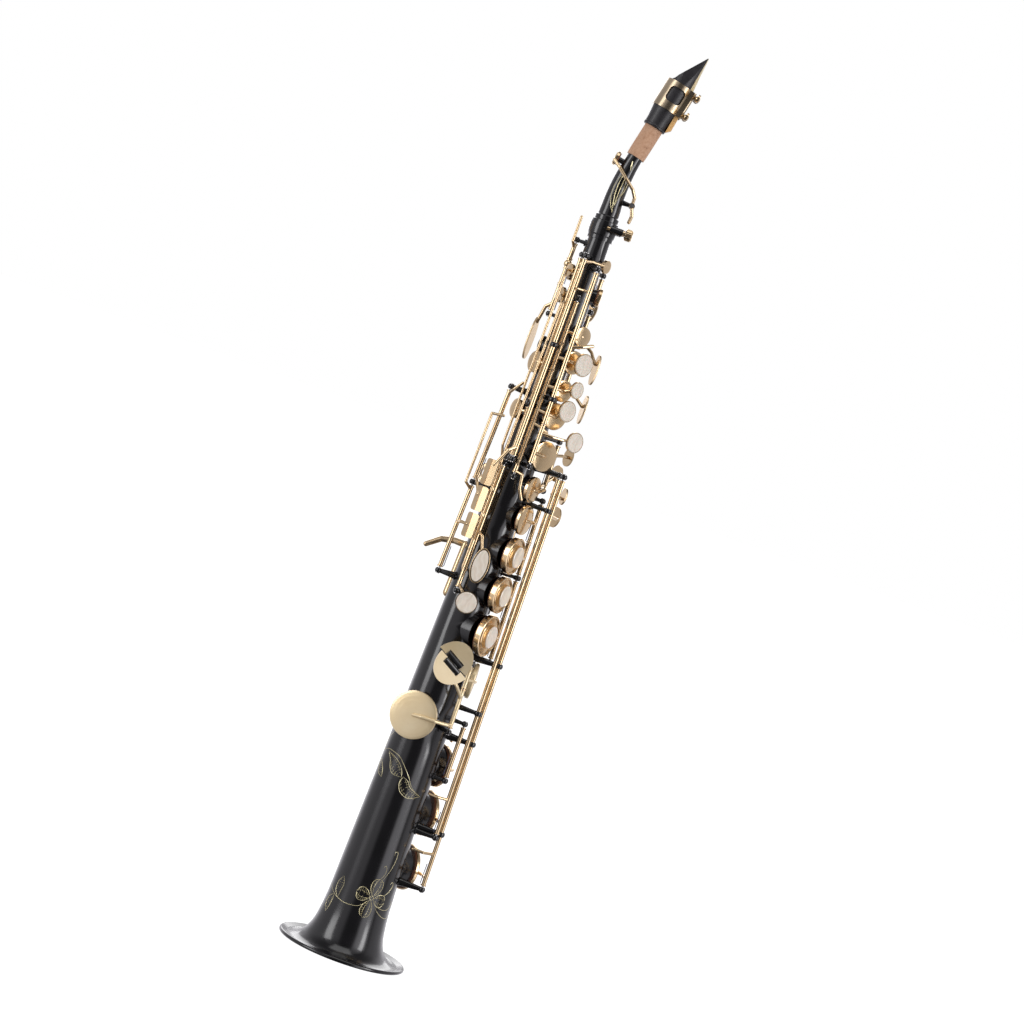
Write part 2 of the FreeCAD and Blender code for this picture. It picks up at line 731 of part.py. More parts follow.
def side_c_lever():
    hinge, bottom, top = KEYS["side_c_lever"][:3]
    touch = touch_frame((*SIDE_TOUCH_PLACE, 332.5))
    finger = branch(hinge, 408, [(24.5, -112, 412), (21.5, -104, 418)], 1.0)
    arm = branch(hinge, 346.5, [(27.3, -110, 342), (28.4, -98, 335)])
    plate = folded_plate(touch, *SIDE_TOUCH, SIDE_FOLD)
    return finish("side_c_lever", [tube_on(hinge, bottom, top), finger, arm, plate])


def long_key(key, hole, start, bar, arm_z, arm, touch, loose=()):
    """High key whose thin bar runs up the body from its hinge tube to its cup."""
    hinge, bottom, top = KEYS[key][:3]
    crown = cup_top(hole) - out(HOLES[hole][0]) * ARM_SINK
    points = [rod_at(hinge, start)] + [at(*p) for p in bar] + [crown]
    solids = [tube_on(hinge, bottom, top), stalk(points, [0.9] * len(points)), cup(hole),
              branch(hinge, arm_z, arm, 1.1)]
    return finish(key, solids + touch, [pad(hole)] + list(loose))


def high_g_key():
    touch = touch_frame((28.0, -58, 262))
    bar = [(18.7, -95, 284), (18.0, -96, 362), (22.8, -96, 373), (22.0, -96, 497), (18.0, -108, 502.5)]
    return long_key("high_g_key", "high_g", 280, bar, 272, [(27.0, -71, 269), (27.4, -61, 264)],
                    [holder(touch, 7.8, 1.2)], [pearl(touch, 7.8)])


def high_fsharp_key():
    bar = [(24.0, -85, 361), (20.8, -85, 479), (18.2, -92, 482.5), (16.9, -102, 484.5)]
    plate = oval(touch_frame((28.0, -58, 289)), 6.2, 12.6, 1.5, 0.4)
    inlay = oval(touch_frame((29.5, -58, 289)), 4.9, 11.2, 0.9, 0.4)
    return long_key("high_fsharp_key", "high_fsharp", 357, bar, 311, [(26.5, -70, 309), (27.3, -60, 296)],
                    [plate], [inlay])


def csharp_lever():
    hinge, bottom, top = KEYS["csharp_lever"][:3]
    touch = touch_frame((37.0, 74, 366.5), 4)
    finger = branch(hinge, 168, [(27.0, 77, 166), (28.3, 69, 163.4)], 1.1)
    arm = branch(hinge, 345, [(29.0, 81, 353), (36.6, 76, 363)])
    plate = oval(touch, 5.2, 6.0, PLATE, PLATE_EASE)
    return finish("csharp_lever", [tube_on(hinge, bottom, top), finger, arm, plate])


def palm_key(key, hole, arm_z, touch_arm_z, places, touch, a, b):
    hinge = KEYS[key][0]
    return simple_key(key, hole, [arm_z], [
        branch(hinge, touch_arm_z, places), oval(touch_frame(touch, 0), a, b, 1.5, 0.5)], arm_r=1.2)


def palm_d_key():
    return palm_key("palm_d_key", "palm_d", 444, 425, [(25, 62, 422), (29.5, 50, 417)], (30, 46, 415),
                    6.0, 10.5)


def palm_eb_key():
    return palm_key("palm_eb_key", "palm_eb", 470, 461, [(25, 62, 455), (28.6, 54, 448)], (29.2, 51, 444),
                    5.6, 11.0)


def palm_f_key():
    return palm_key("palm_f_key", "palm_f", 493, 503, [(21, 92, 499), (26.0, 98, 488)], (26.6, 100, 484),
                    5.4, 10.5)


def octave_thumb_lever():
    hinge, bottom, top = KEYS["octave_thumb_lever"][:3]
    touch = touch_frame((22.0, -164, 450), 0)
    arm = branch(hinge, 478, [(19.8, -158, 474), (22.3, -163, 462)], 1.3)
    return finish("octave_thumb_lever", [tube_on(hinge, bottom, top), arm, oval(touch, 6.0, 15.5, 1.6, 0.6)])


def body_octave_key():
    pin = branch("octave", 519, [(17.2, -140, 523), (17.2, -140, 541)], 1.0)
    return simple_key("body_octave_key", "octave", [500, (15.2, -172, 500)], [pin], arm_r=0.9)


# ---- fittings on the body ------------------------------------------------------------
def strap_ring():
    """Ring for the neck strap, with a stem and a plate curved to the body."""
    surface = body_r(STRAP_Z)
    hub = at(surface + RING_STAND, 180, STRAP_Z)
    half = V(RING_WIDTH / 2, 0, 0)
    ring = cylinder(hub - half, hub + half, STRAP_BORE / 2 + RING_WALL)
    ring = ring.makeFillet(0.9, ring.Edges[:1] + ring.Edges[2:3])
    stem = cylinder(at(surface - 1, 180, STRAP_Z), hub - out(180) * 6.3, 1.8)
    plate = cylinder(at(surface - 2, 180, STRAP_Z), at(surface + 1.4, 180, STRAP_Z), 5.0)
    return fuse([ring, stem, plate]).cut(skin()).cut(cylinder(hub - half * 4, hub + half * 4, STRAP_BORE / 2))


def thumb_hook():
    """Hook that the right thumb carries, on its base plate."""
    base = [at(body_r(z) + 0.2, HOOK_ANGLE, z) for z in HOOK_HEIGHTS]
    bends = [at(24, HOOK_ANGLE, 298), at(33, HOOK_ANGLE + 2, 296), at(42, HOOK_ANGLE + 4, 289)]
    arm = stalk([base[1]] + bends, [2.6, 2.3, 2.1, 1.9])
    plate = stalk([base[0], base[1]], [3.0, 3.0])
    return fuse([arm, plate]).cut(skin())


def thumb_rest():
    """Round rest for the left thumb, on a short neck."""
    place = frame(at(body_r(THUMB_REST_Z) - 1, 180, THUMB_REST_Z), side(180), out(180))
    outline = [(0, 0), (5.0, 0), (5.0, 2.6), (6.4, 3.4), (6.8, 4.4), (6.2, 5.2), (3.5, 5.8), (0, 6.0)]
    return revolve(outline, place).cut(skin())


# ---- neck, mouthpiece and reed ---------------------------------------------------------
def neck_frame(z):
    """Frame at a distance z along the neck: local Z along it, local X to its outer side."""
    turn = math.radians(NECK_LEAN)
    radius = (NECK_BEND_END - NECK_STRAIGHT) / turn
    swept = min(max(0.0, z - NECK_STRAIGHT) / radius, turn)
    past = max(0.0, z - NECK_BEND_END)
    shift = radius * (1 - math.cos(swept)) + past * math.sin(swept)
    height = min(z, NECK_STRAIGHT) + radius * math.sin(swept) + past * math.cos(swept)
    heading = out(NECK_HEADING)
    along = heading * math.sin(swept) + V(0, 0, math.cos(swept))
    across = heading * math.cos(swept) - V(0, 0, math.sin(swept))
    return frame(heading * shift + V(0, 0, height), across, along)


def neck_loft(stations):
    """Smooth solid through circles given as (distance along the neck, radius)."""
    rings = []
    for z, r in stations:
        place = neck_frame(z)
        along = place.Rotation.multVec(V(0, 0, 1))
        rings.append(Part.Wire(Part.makeCircle(r, place.Base, along).Edges))
    return Part.makeLoft(rings, True, False)


NECK_OUTER = [(547.8, 7.5), (559, 7.0), (567, 6.7), (575, 6.4), (583, 6.0), (591, 5.7), (597, 5.6),
              (605, 5.5), (615, 5.4), (625, 5.4), (634, 5.3)]
NECK_BORE = [(529, 5.2), (540, 5.1), (550, 5.0), (559, 4.9), (567, 4.8), (575, 4.7), (583, 4.6), (591, 4.5),
             (599, 4.45), (609, 4.4), (621, 4.3), (635, 4.2)]


def clamp_point(offset):
    """Point on the axis of the neck screw, which crosses the receiver's front left side."""
    return out(CLAMP_HEADING) * CLAMP_REACH + side(CLAMP_HEADING) * offset + V(0, 0, CLAMP_Z)


def neck_receiver():
    """Collar at the body's top that the neck tenon turns in, with its split clamp barrel."""
    outline = [(RECEIVER_R, BODY_TOP), (9.2, BODY_TOP), (9.2, 532.5), (9.7, 533.5), (10.0, 536), (10.0, 541),
               (9.6, 543.4), (9.0, 543.8), (RECEIVER_R, 543.8)]
    collar = revolve(outline, FreeCAD.Placement())
    barrel = cylinder(clamp_point(4.6), clamp_point(13.8), CLAMP_R)
    lug = Part.makeBox(8, 5, 5, V(0, 0, 0))
    lug.Placement = frame(clamp_point(5.0) - out(CLAMP_HEADING) * 5.5 - V(0, 0, 2.5), side(CLAMP_HEADING),
                          V(0, 0, 1))
    core = Part.makeCylinder(RECEIVER_R, 20, V(0, 0, BODY_TOP - 2))
    bore = cylinder(clamp_point(0), clamp_point(20), 1.35)
    return fuse([collar, barrel, lug]).cut(core).cut(bore)


def neck_screw():
    """Clamp screw with a collar, a shank in the barrel and a round thumb head."""
    along = side(CLAMP_HEADING)
    shank = cylinder(clamp_point(2.4), clamp_point(16.5), 1.3)
    collar = cylinder(clamp_point(13.9), clamp_point(15.2), 2.2)
    outline = [(0, 0), (3.0, 0), (4.3, 0.8), (4.3, 4.4), (3.4, 5.4), (0, 5.8)]
    head = revolve(outline, frame(clamp_point(15.4), V(0, 0, 1), along))
    for k in range(10):
        a = math.radians(36 * k)
        spot = clamp_point(15) + V(0, 0, 1) * (4.9 * math.cos(a)) + out(CLAMP_HEADING) * (4.9 * math.sin(a))
        head = head.cut(cylinder(spot, spot + along * 8, 0.9))
    return fuse([shank, collar, head])


def neck_pipe():
    """Tenon with its collar, and the tapering, bent tube."""
    outline = [(0, 531), (TENON_R, 531), (TENON_R, 543.9), (8.6, 543.9), (8.6, 547), (7.5, 547.8), (0, 547.8)]
    lower = revolve(outline, FreeCAD.Placement())
    return fuse([lower, neck_loft(NECK_OUTER)]).cut(neck_loft(NECK_BORE))


def neck_cork():
    """Cork sleeve round the neck's end."""
    end_r = CORK_R - 0.2
    sleeve = neck_loft([(593, end_r), (603, CORK_R), (617, CORK_R), (625, CORK_R), (633, end_r)])
    return sleeve.cut(neck_loft(NECK_OUTER))


def mouth_frame():
    """Frame of the mouthpiece: local Z runs to its tip and local X points to the reed."""
    base = neck_frame(MOUTH_START)
    return base.multiply(turned(V(0, 0, 1), REED_TURN))


def prism(points, width):
    """Prism of the given width across local Y, from points (height along Z, offset along X)."""
    wire = Part.makePolygon([V(x, -width / 2, h) for h, x in points + points[:1]])
    return Part.Face(wire).extrude(V(0, width, 0))


def mouthpiece():
    """Hard rubber mouthpiece: shank with a bead, flat reed table and sloping beak."""
    length = MOUTH_TIP - MOUTH_START
    outline = [(0, 0), (8.0, 0), (8.5, 0.5), (8.5, 1.6), (8.2, 2.1), (8.3, 6), (8.9, 11), (9.35, 14.2),
               (9.35, 15.0), (9.1, 15.4), (9.0, 30), (8.8, 38), (8.4, length), (0, length)]
    solid = revolve(outline, FreeCAD.Placement())
    table = prism([(-1, TABLE_START), (length + 1, TABLE_END), (length + 1, 30), (-1, 30)], 60)
    beak = prism([(35.5, -20), (35.5, -7.9), (37.0, -6.6), (40.0, -5.4), (50.0, 0.1), (length - 0.5, 5.4),
                  (length + 1, 5.9), (length + 1, -20)], 60)
    sides = []
    for sign in (-1, 1):
        corners = [(9.4, 30), (5.9, length + 1), (30, length + 1), (30, 30), (9.4, 30)]
        wire = Part.makePolygon([V(-30, sign * y, z) for y, z in corners])
        sides.append(Part.Face(wire).extrude(V(60, 0, 0)))
    socket = Part.makeCylinder(CORK_R + 0.02, 18.6)
    chamber = Part.makeCone(5.2, 4.6, 14, V(0, 0, 18))
    window = prism([(30, 2.0), (length - 2.2, 5.0), (length - 2.2, 12), (30, 12)], 8.4)
    solid = solid.cut(table).cut(beak).cut(sides[0]).cut(sides[1]).cut(socket).cut(chamber).cut(window)
    solid.Placement = mouth_frame()
    return solid


def reed():
    """Cane reed: flat heel with a bark dome, shaved to a thin tip."""
    length = MOUTH_TIP - MOUTH_START
    slope = (TABLE_END - TABLE_START) / (length + 2)
    base = [(h, TABLE_START + slope * (h + 1)) for h in (1.5, length + 0.3)]
    heel, tip = base[0][1], base[1][1]
    back = [(length + 0.3, tip + 0.3), (46, 8.0), (33, 9.75), (27, 7.1 + REED_THICK)]
    back.append((4.5, heel + REED_THICK))
    shape = prism(base + back, 20)
    wire = Part.makePolygon([V(0, -5.2, 1), V(0, 5.2, 1), V(0, 5.8, length - 2), V(0, 4.6, length + 0.3),
                             V(0, -4.6, length + 0.3), V(0, -5.8, length - 2), V(0, -5.2, 1)])
    shape = shape.common(Part.Face(wire).extrude(V(30, 0, 0)))
    shape = shape.common(Part.makeCylinder(8.2, 90, V(3.4, 0, -10)))
    shape.Placement = mouth_frame()
    return shape


def ligature():
    """Band round mouthpiece and reed, with a window on each side and four screw lugs."""
    length = LIG_HIGH - LIG_LOW
    reach, width = LIG_BRIDGE
    outer = Part.makeCylinder(LIG_R, length, V(0, 0, LIG_LOW))
    inner = Part.makeCylinder(LIG_R - LIG_WALL + 0.02, length + 2, V(0, 0, LIG_LOW - 1))
    bridge = Part.makeBox(reach - 6, width, length, V(6, -width / 2, LIG_LOW))
    hollow = Part.makeBox(reach - 6 - LIG_WALL, width - 1.6, length + 2, V(6, 0.8 - width / 2, LIG_LOW - 1))
    far = [e for e in bridge.Edges if abs(e.BoundBox.XMin - reach) < 1e-3 and e.BoundBox.ZLength > length - 1]
    bridge = bridge.makeFillet(2.0, far)
    band = outer.fuse(bridge).cut(inner).cut(hollow)
    back, front, low, high = LIG_WINDOW
    window = Part.makeBox(front - back, 60, high - low, V(back, -30, low))
    window = window.makeFillet(3.0, [e for e in window.Edges if e.BoundBox.YLength > 50])
    band = band.cut(window)
    lugs = []
    for z in LIG_SCREWS:
        for y in (-LIG_LUG_Y, LIG_LUG_Y):
            lugs.append(Part.makeSphere(2.2, V(LIG_X, y, z)))
            lugs.append(Part.makeBox(3.2, 1.8, 3.0, V(11.8, y - 0.9, z - 1.5)))
    band = band.fuse(lugs)
    for z in LIG_SCREWS:
        band = band.cut(Part.makeCylinder(1.05, 20, V(LIG_X, -10, z), V(0, 1, 0)))
    band.Placement = mouth_frame()
    return band


def ligature_screw(z):
    """Thumb screw along local Y, its flat head on the near side."""
    shank = Part.makeCylinder(1.0, 16.0, V(LIG_X, -9.0, z), V(0, 1, 0))
    collar = Part.makeCylinder(1.7, 1.2, V(LIG_X, -7.2, z), V(0, 1, 0))
    head = Part.makeSphere(1.9, V(LIG_X, -9.0, z))
    wing = Part.makeCylinder(3.0, 1.6, V(LIG_X - 0.8, -11.0, z), V(1, 0, 0))
    solid = fuse([shank, collar, head, wing])
    solid.Placement = mouth_frame()
    return solid


def ligature_screw_upper():
    return ligature_screw(LIG_SCREWS[1])


def ligature_screw_lower():
    return ligature_screw(LIG_SCREWS[0])


# ---- octave key on the neck --------------------------------------------------------------
def neck_point(z, x, y=0.0):
    return neck_frame(z).multVec(V(x, y, 0))


def neck_fittings():
    """Vent pip and pivot post that are soldered to the neck."""
    pip = cylinder(neck_point(PIP_Z, -4.6), neck_point(PIP_Z, -PIP_TOP), 2.0)
    x, z = NECK_PIVOT
    post = Part.makeCone(2.0, 1.3, x - 6.2, neck_point(z, 6.2), neck_point(z, x) - neck_point(z, 6.2))
    ball = Part.makeSphere(POST_R, neck_point(z, x))
    slab = cylinder(neck_point(z, x, -POST_HALF), neck_point(z, x, POST_HALF), 30)
    eye = cylinder(neck_point(z, x, -5), neck_point(z, x, 5), ROD_R + POST_FIT)
    vent = cylinder(neck_point(PIP_Z, 0), neck_point(PIP_Z, -12), 0.8)
    return fuse([pip, post.fuse(ball).common(slab)]), eye, vent


def neck_octave_key():
    """Key that crosses the front of the neck from its post to the vent pip."""
    x, z = NECK_PIVOT
    outline = [(0, 3.3), (4.3, 3.3), (5.1, 2.6), (5.2, 0.9), (4.5, 0.9), (4.5, 2.3), (0, 2.3)]
    place = neck_frame(PIP_Z)
    across = place.Rotation.multVec(V(-1, 0, 0))
    seat_place = frame(neck_point(PIP_Z, -PIP_TOP), place.Rotation.multVec(V(0, 0, 1)), across)
    lid = revolve(outline, seat_place)
    felt = revolve([(0, SEAT_GAP), (4.4, SEAT_GAP), (4.4, 2.3), (0, 2.3)], seat_place)
    arm = stalk([neck_point(PIP_Z, -11.6), neck_point(584, -11.4, -5.5), neck_point(581, -5.5, -9.2),
                 neck_point(576, 2.0, -10.2), neck_point(571, 9.5, -8.2), neck_point(566, 13.0, -5.6),
                 neck_point(z, x, -3.6)], [1.2] * 7)
    sleeve = cylinder(neck_point(z, x, -5.4), neck_point(z, x, -1.85), 2.0)
    tail = stalk([neck_point(z, x, -3.6), neck_point(553, 15.6, -3.2), neck_point(548.5, 15.2, -1.5)],
                 [1.2, 1.3, 1.3])
    bore = cylinder(neck_point(z, x, -9), neck_point(z, x, 9), ROD_R + ROD_FIT)
    return Part.makeCompound([fuse([lid, arm, sleeve, tail]).cut(bore), felt])


def neck_octave_pin():
    """Pin with a flat head, through the post and the key."""
    x, z = NECK_PIVOT
    shank = cylinder(neck_point(z, x, -6.4), neck_point(z, x, 2.0), ROD_R)
    head = cylinder(neck_point(z, x, -6.6), neck_point(z, x, -5.5), 1.5)
    return shank.fuse(head)


def neck_tube():
    """Neck tube with its fittings, bored for air, for the pin and for the vent."""
    fittings, eye, vent = neck_fittings()
    return neck_pipe().fuse(fittings).cut(eye).cut(vent).cut(neck_loft(NECK_BORE))


# ---- springs ----------------------------------------------------------------------------
def needle_springs():
    """One blued needle for each key, from a post along its hinge tube."""
    wires = []
    for key, (hinge, bottom, top, _, _) in KEYS.items():
        length = min(SPRING_LENGTH, top - bottom - 6.0)
        start = rod_at(hinge, bottom + 1.0)
        end = rod_at(hinge, bottom + 1.0 + length)
        inward = V(-start.x, -start.y, 0).normalize()
        lift = inward * (TUBE_R + 1.0)
        wires.append(cylinder(start + lift, end + lift * 0.92, SPRING_R))
    return Part.makeCompound(wires)


# ---- nodes -------------------------------------------------------------------------------
FIXED = [body_tube, neck_receiver, posts, pivot_rods, needle_springs, strap_ring, thumb_hook, thumb_rest,
         neck_tube, neck_cork, neck_screw, neck_octave_key, neck_octave_pin, mouthpiece, reed, ligature,
         ligature_screw_upper, ligature_screw_lower, low_c_roller, low_eb_roller]

KEY_SHAPES = [low_bb_key, low_b_key, low_csharp_key, low_c_key, low_eb_key, d_key, e_key, f_key, fsharp_key,
              gsharp_key, g_key, front_f_key, link_key, a_key, bis_key, b_key, c_key, side_bb_key, side_c_key,
              high_e_key, side_bb_lever, side_c_lever, high_g_key, high_fsharp_key, csharp_lever, palm_d_key,
              palm_eb_key, palm_f_key, octave_thumb_lever, body_octave_key]

# keys whose pad or pearl, listed in the order of their loose solids, is a node of its own
LOOSE_NODES = {
    "low_bb_key": ["low_bb_pad"],
    "low_b_key": ["low_b_pad"],
    "low_csharp_key": ["low_csharp_pad"],
    "low_c_key": ["low_c_pad"],
    "d_key": ["d_pad", "d_pearl"],
    "e_key": ["e_pad", "e_pearl"],
    "f_key": ["f_pad", "f_pearl"],
}


def export(name, solids):
    shape = solids[0] if len(solids) == 1 else Part.makeCompound(solids)
    shape.exportStep(os.path.join("parts", name + ".step"))


def main():
    os.makedirs("parts", exist_ok=True)
    for build in FIXED:
        export(build.__name__, build().Solids)
    for build in KEY_SHAPES:
        key = build.__name__
        solids = build().Solids
        apart = LOOSE_NODES.get(key, [])
        export(key, solids[:1] if apart else solids)
        for name, solid in zip(apart, solids[1:]):
            export(name, [solid])


main()
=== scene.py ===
import json
import math

import bmesh
import bpy
import numpy as np
from mathutils import Matrix, Vector
from mathutils.bvhtree import BVHTree

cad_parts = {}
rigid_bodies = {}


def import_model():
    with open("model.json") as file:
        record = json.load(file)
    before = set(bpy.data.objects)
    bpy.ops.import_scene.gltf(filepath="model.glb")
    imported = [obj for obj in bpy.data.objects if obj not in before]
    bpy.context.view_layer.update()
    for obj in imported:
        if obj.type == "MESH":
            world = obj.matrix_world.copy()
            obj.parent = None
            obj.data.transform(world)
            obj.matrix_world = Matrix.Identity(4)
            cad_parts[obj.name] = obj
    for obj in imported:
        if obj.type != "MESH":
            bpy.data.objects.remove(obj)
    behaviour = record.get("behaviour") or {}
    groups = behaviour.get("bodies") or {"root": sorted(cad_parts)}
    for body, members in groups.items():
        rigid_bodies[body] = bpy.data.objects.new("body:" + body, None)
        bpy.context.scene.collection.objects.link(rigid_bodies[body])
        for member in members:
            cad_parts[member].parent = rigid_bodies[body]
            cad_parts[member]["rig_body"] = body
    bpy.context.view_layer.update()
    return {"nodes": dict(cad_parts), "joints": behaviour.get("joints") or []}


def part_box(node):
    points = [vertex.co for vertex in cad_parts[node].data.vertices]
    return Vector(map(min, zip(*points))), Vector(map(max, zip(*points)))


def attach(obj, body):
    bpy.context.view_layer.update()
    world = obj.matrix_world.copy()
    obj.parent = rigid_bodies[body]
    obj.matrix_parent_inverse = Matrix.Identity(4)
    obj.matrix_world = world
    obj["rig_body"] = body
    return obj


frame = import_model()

MM = 0.001
NODES = frame["nodes"]
JOINTS = {joint["name"]: joint for joint in frame["joints"]}
VIEW_HEADING = -57.0     # degrees round the body, from the front towards the player's left


# ---- places round the body --------------------------------------------------------------
def out(heading):
    """Level unit vector that points away from the body's axis at a heading in degrees."""
    angle = math.radians(heading)
    return Vector((math.sin(angle), -math.cos(angle), 0.0))


def up(height):
    return Vector((0, 0, height))


# ---- node helpers for materials ----------------------------------------------------------
class Shader:
    """Small helper that adds and wires nodes of one material."""

    def __init__(self, name):
        self.mat = bpy.data.materials.new(name)
        self.mat.use_nodes = True
        self.tree = self.mat.node_tree
        self.bsdf = self.tree.nodes["Principled BSDF"]

    def add(self, kind, **values):
        node = self.tree.nodes.new(kind)
        for key, value in values.items():
            setattr(node, key, value)
        return node

    def link(self, a, b):
        self.tree.links.new(a, b)

    def coords(self, scale=(1, 1, 1)):
        """The object's own coordinates, scaled per axis."""
        source = self.add("ShaderNodeTexCoord")
        mapping = self.add("ShaderNodeMapping")
        mapping.inputs["Scale"].default_value = scale
        self.link(source.outputs["Object"], mapping.inputs["Vector"])
        return mapping.outputs["Vector"]

    def noise(self, scale, detail=4.0, rough=0.5, stretch=(1, 1, 1)):
        node = self.add("ShaderNodeTexNoise")
        node.inputs["Scale"].default_value = scale
        node.inputs["Detail"].default_value = detail
        node.inputs["Roughness"].default_value = rough
        self.link(self.coords(stretch), node.inputs["Vector"])
        return node.outputs["Fac"]

    def ramp(self, fac, stops):
        """Colour ramp over (place, (red, green, blue)) stops."""
        node = self.add("ShaderNodeValToRGB")
        elements = node.color_ramp.elements
        while len(elements) < len(stops):
            elements.new(0.5)
        for element, (place, colour) in zip(elements, stops):
            element.position = place
            element.color = (*colour, 1.0)
        self.link(fac, node.inputs["Fac"])
        return node.outputs["Color"]

    def spread(self, fac, low, high):
        """Maps 0..1 to low..high."""
        node = self.add("ShaderNodeMapRange")
        node.inputs["To Min"].default_value = low
        node.inputs["To Max"].default_value = high
        self.link(fac, node.inputs["Value"])
        return node.outputs["Result"]

    def set(self, **values):
        """Sets or links inputs of the Principled node, with _ for a space in the input's name."""
        for key, value in values.items():
            socket = self.bsdf.inputs[key.replace("_", " ")]
            if hasattr(value, "is_linked"):
                self.link(value, socket)
            else:
                colour = socket.type == "RGBA" and len(value) == 3
                socket.default_value = (*value, 1.0) if colour else value

    def bump(self, fac, distance, strength=0.5):
        node = self.add("ShaderNodeBump")
        node.inputs["Strength"].default_value = strength
        node.inputs["Distance"].default_value = distance
        self.link(fac, node.inputs["Height"])
        self.link(node.outputs["Normal"], self.bsdf.inputs["Normal"])


def black_lacquer():
    s = Shader("black_lacquer")
    tone = s.ramp(s.noise(60, 5), [(0.3, (0.0030, 0.0027, 0.0034)),
                                   (0.7, (0.0065, 0.0060, 0.0074))])
    s.set(Base_Color=tone, Roughness=s.spread(s.noise(220, 3), 0.22, 0.30), Coat_Weight=1.0,
          Coat_Roughness=0.16, Coat_IOR=1.6, Specular_IOR_Level=0.10)
    s.bump(s.noise(900, 2), 0.00001, 0.08)
    return s.mat


def lacquered_brass(name, dark, light, rough, metal=1.0):
    s = Shader(name)
    tone = s.ramp(s.noise(45, 5, 0.55), [(0.30, dark), (0.68, light)])
    s.set(Base_Color=tone, Metallic=metal,
          Roughness=s.spread(s.noise(160, 3), rough * 0.85, rough * 1.15), Coat_Weight=0.5,
          Coat_Roughness=0.06, Coat_Tint=(1.0, 0.94, 0.82))
    return s.mat


def mother_of_pearl():
    s = Shader("mother_of_pearl")
    wave = s.add("ShaderNodeTexWave", wave_type="BANDS")
    wave.inputs["Scale"].default_value = 90
    wave.inputs["Distortion"].default_value = 22.0
    wave.inputs["Detail"].default_value = 3.0
    s.link(s.coords((1.0, 0.7, 0.5)), wave.inputs["Vector"])
    tone = s.ramp(wave.outputs["Fac"], [(0.0, (0.85, 0.75, 0.62)), (0.35, (0.90, 0.80, 0.66)),
                                        (0.7, (0.88, 0.79, 0.68)), (1.0, (0.95, 0.86, 0.73))])
    s.set(Base_Color=tone, Roughness=0.22, Coat_Weight=0.8, Coat_Roughness=0.06, Sheen_Weight=0.15,
          Subsurface_Weight=0.12, Subsurface_Radius=(0.002, 0.0012, 0.001), Subsurface_Scale=0.5)
    return s.mat


def pad_leather():
    s = Shader("pad_leather")
    cells = s.add("ShaderNodeTexVoronoi", feature="DISTANCE_TO_EDGE")
    cells.inputs["Scale"].default_value = 1500
    s.link(s.coords(), cells.inputs["Vector"])
    tone = s.ramp(s.noise(160, 6, 0.6), [(0.3, (0.16, 0.055, 0.025)), (0.7, (0.30, 0.12, 0.055))])
    s.set(Base_Color=tone, Roughness=0.55, Sheen_Weight=0.2)
    s.bump(cells.outputs["Distance"], 0.00008, 0.5)
    return s.mat


def cork():
    s = Shader("cork")
    specks = s.add("ShaderNodeTexVoronoi", feature="F1")
    specks.inputs["Scale"].default_value = 700
    s.link(s.coords((1, 1, 0.55)), specks.inputs["Vector"])
    grain = s.noise(420, 8, 0.7)
    tone = s.ramp(grain, [(0.26, (0.18, 0.08, 0.04)), (0.40, (0.52, 0.29, 0.17)),
                          (0.60, (0.62, 0.38, 0.24)), (0.8, (0.72, 0.47, 0.32))])
    s.set(Base_Color=tone, Roughness=0.8, Sheen_Weight=0.1)
    s.bump(specks.outputs["Distance"], 0.00012, 0.45)
    return s.mat


def cane():
    """Reed cane: long fibres, orange at the bark and cream where it is shaved."""
    s = Shader("reed_cane")
    fibres = s.noise(260, 6, 0.65, (6.0, 6.0, 0.25))
    low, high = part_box("reed")
    place = s.add("ShaderNodeSeparateXYZ")
    s.link(s.coords(), place.inputs["Vector"])
    height = s.add("ShaderNodeMapRange")
    height.inputs["From Min"].default_value = low.z
    height.inputs["From Max"].default_value = high.z
    s.link(place.outputs["Z"], height.inputs["Value"])
    along = s.ramp(height.outputs["Result"], [(0.0, (0.80, 0.46, 0.16)), (0.38, (0.84, 0.56, 0.24)),
                                              (0.5, (0.88, 0.72, 0.42)), (1.0, (0.92, 0.84, 0.62))])
    mix = s.add("ShaderNodeMix", data_type="RGBA", blend_type="MULTIPLY")
    mix.inputs["Factor"].default_value = 0.6
    s.link(along, mix.inputs["A"])
    s.link(s.ramp(fibres, [(0.3, (0.72, 0.62, 0.5)), (0.6, (1, 1, 1))]), mix.inputs["B"])
    s.set(Base_Color=mix.outputs["Result"], Roughness=0.5, Subsurface_Weight=0.1,
          Subsurface_Radius=(0.001, 0.0008, 0.0005), Subsurface_Scale=0.5)
    s.bump(fibres, 0.00006, 0.4)
    return s.mat


def hard_rubber():
    s = Shader("hard_rubber")
    tone = s.ramp(s.noise(180, 6), [(0.3, (0.012, 0.011, 0.013)), (0.7, (0.026, 0.024, 0.027))])
    s.set(Base_Color=tone, Roughness=s.spread(s.noise(600, 4), 0.34, 0.48), Specular_IOR_Level=0.5)
    s.bump(s.noise(1600, 3, 0.6, (1, 1, 0.2)), 0.00002, 0.25)
    return s.mat


def black_plastic():
    s = Shader("black_plastic")
    tone = s.ramp(s.noise(300, 3), [(0.3, (0.010, 0.010, 0.010)), (0.7, (0.020, 0.020, 0.021))])
    s.set(Base_Color=tone, Roughness=s.spread(s.noise(500, 3), 0.16, 0.28), Coat_Weight=0.5)
    return s.mat


def steel(name, dark, light):
    s = Shader(name)
    tone = s.ramp(s.noise(500, 4, 0.5, (8, 8, 0.3)), [(0.3, dark), (0.7, light)])
    s.set(Base_Color=tone, Metallic=1.0, Roughness=s.spread(s.noise(900, 3), 0.18, 0.32))
    return s.mat


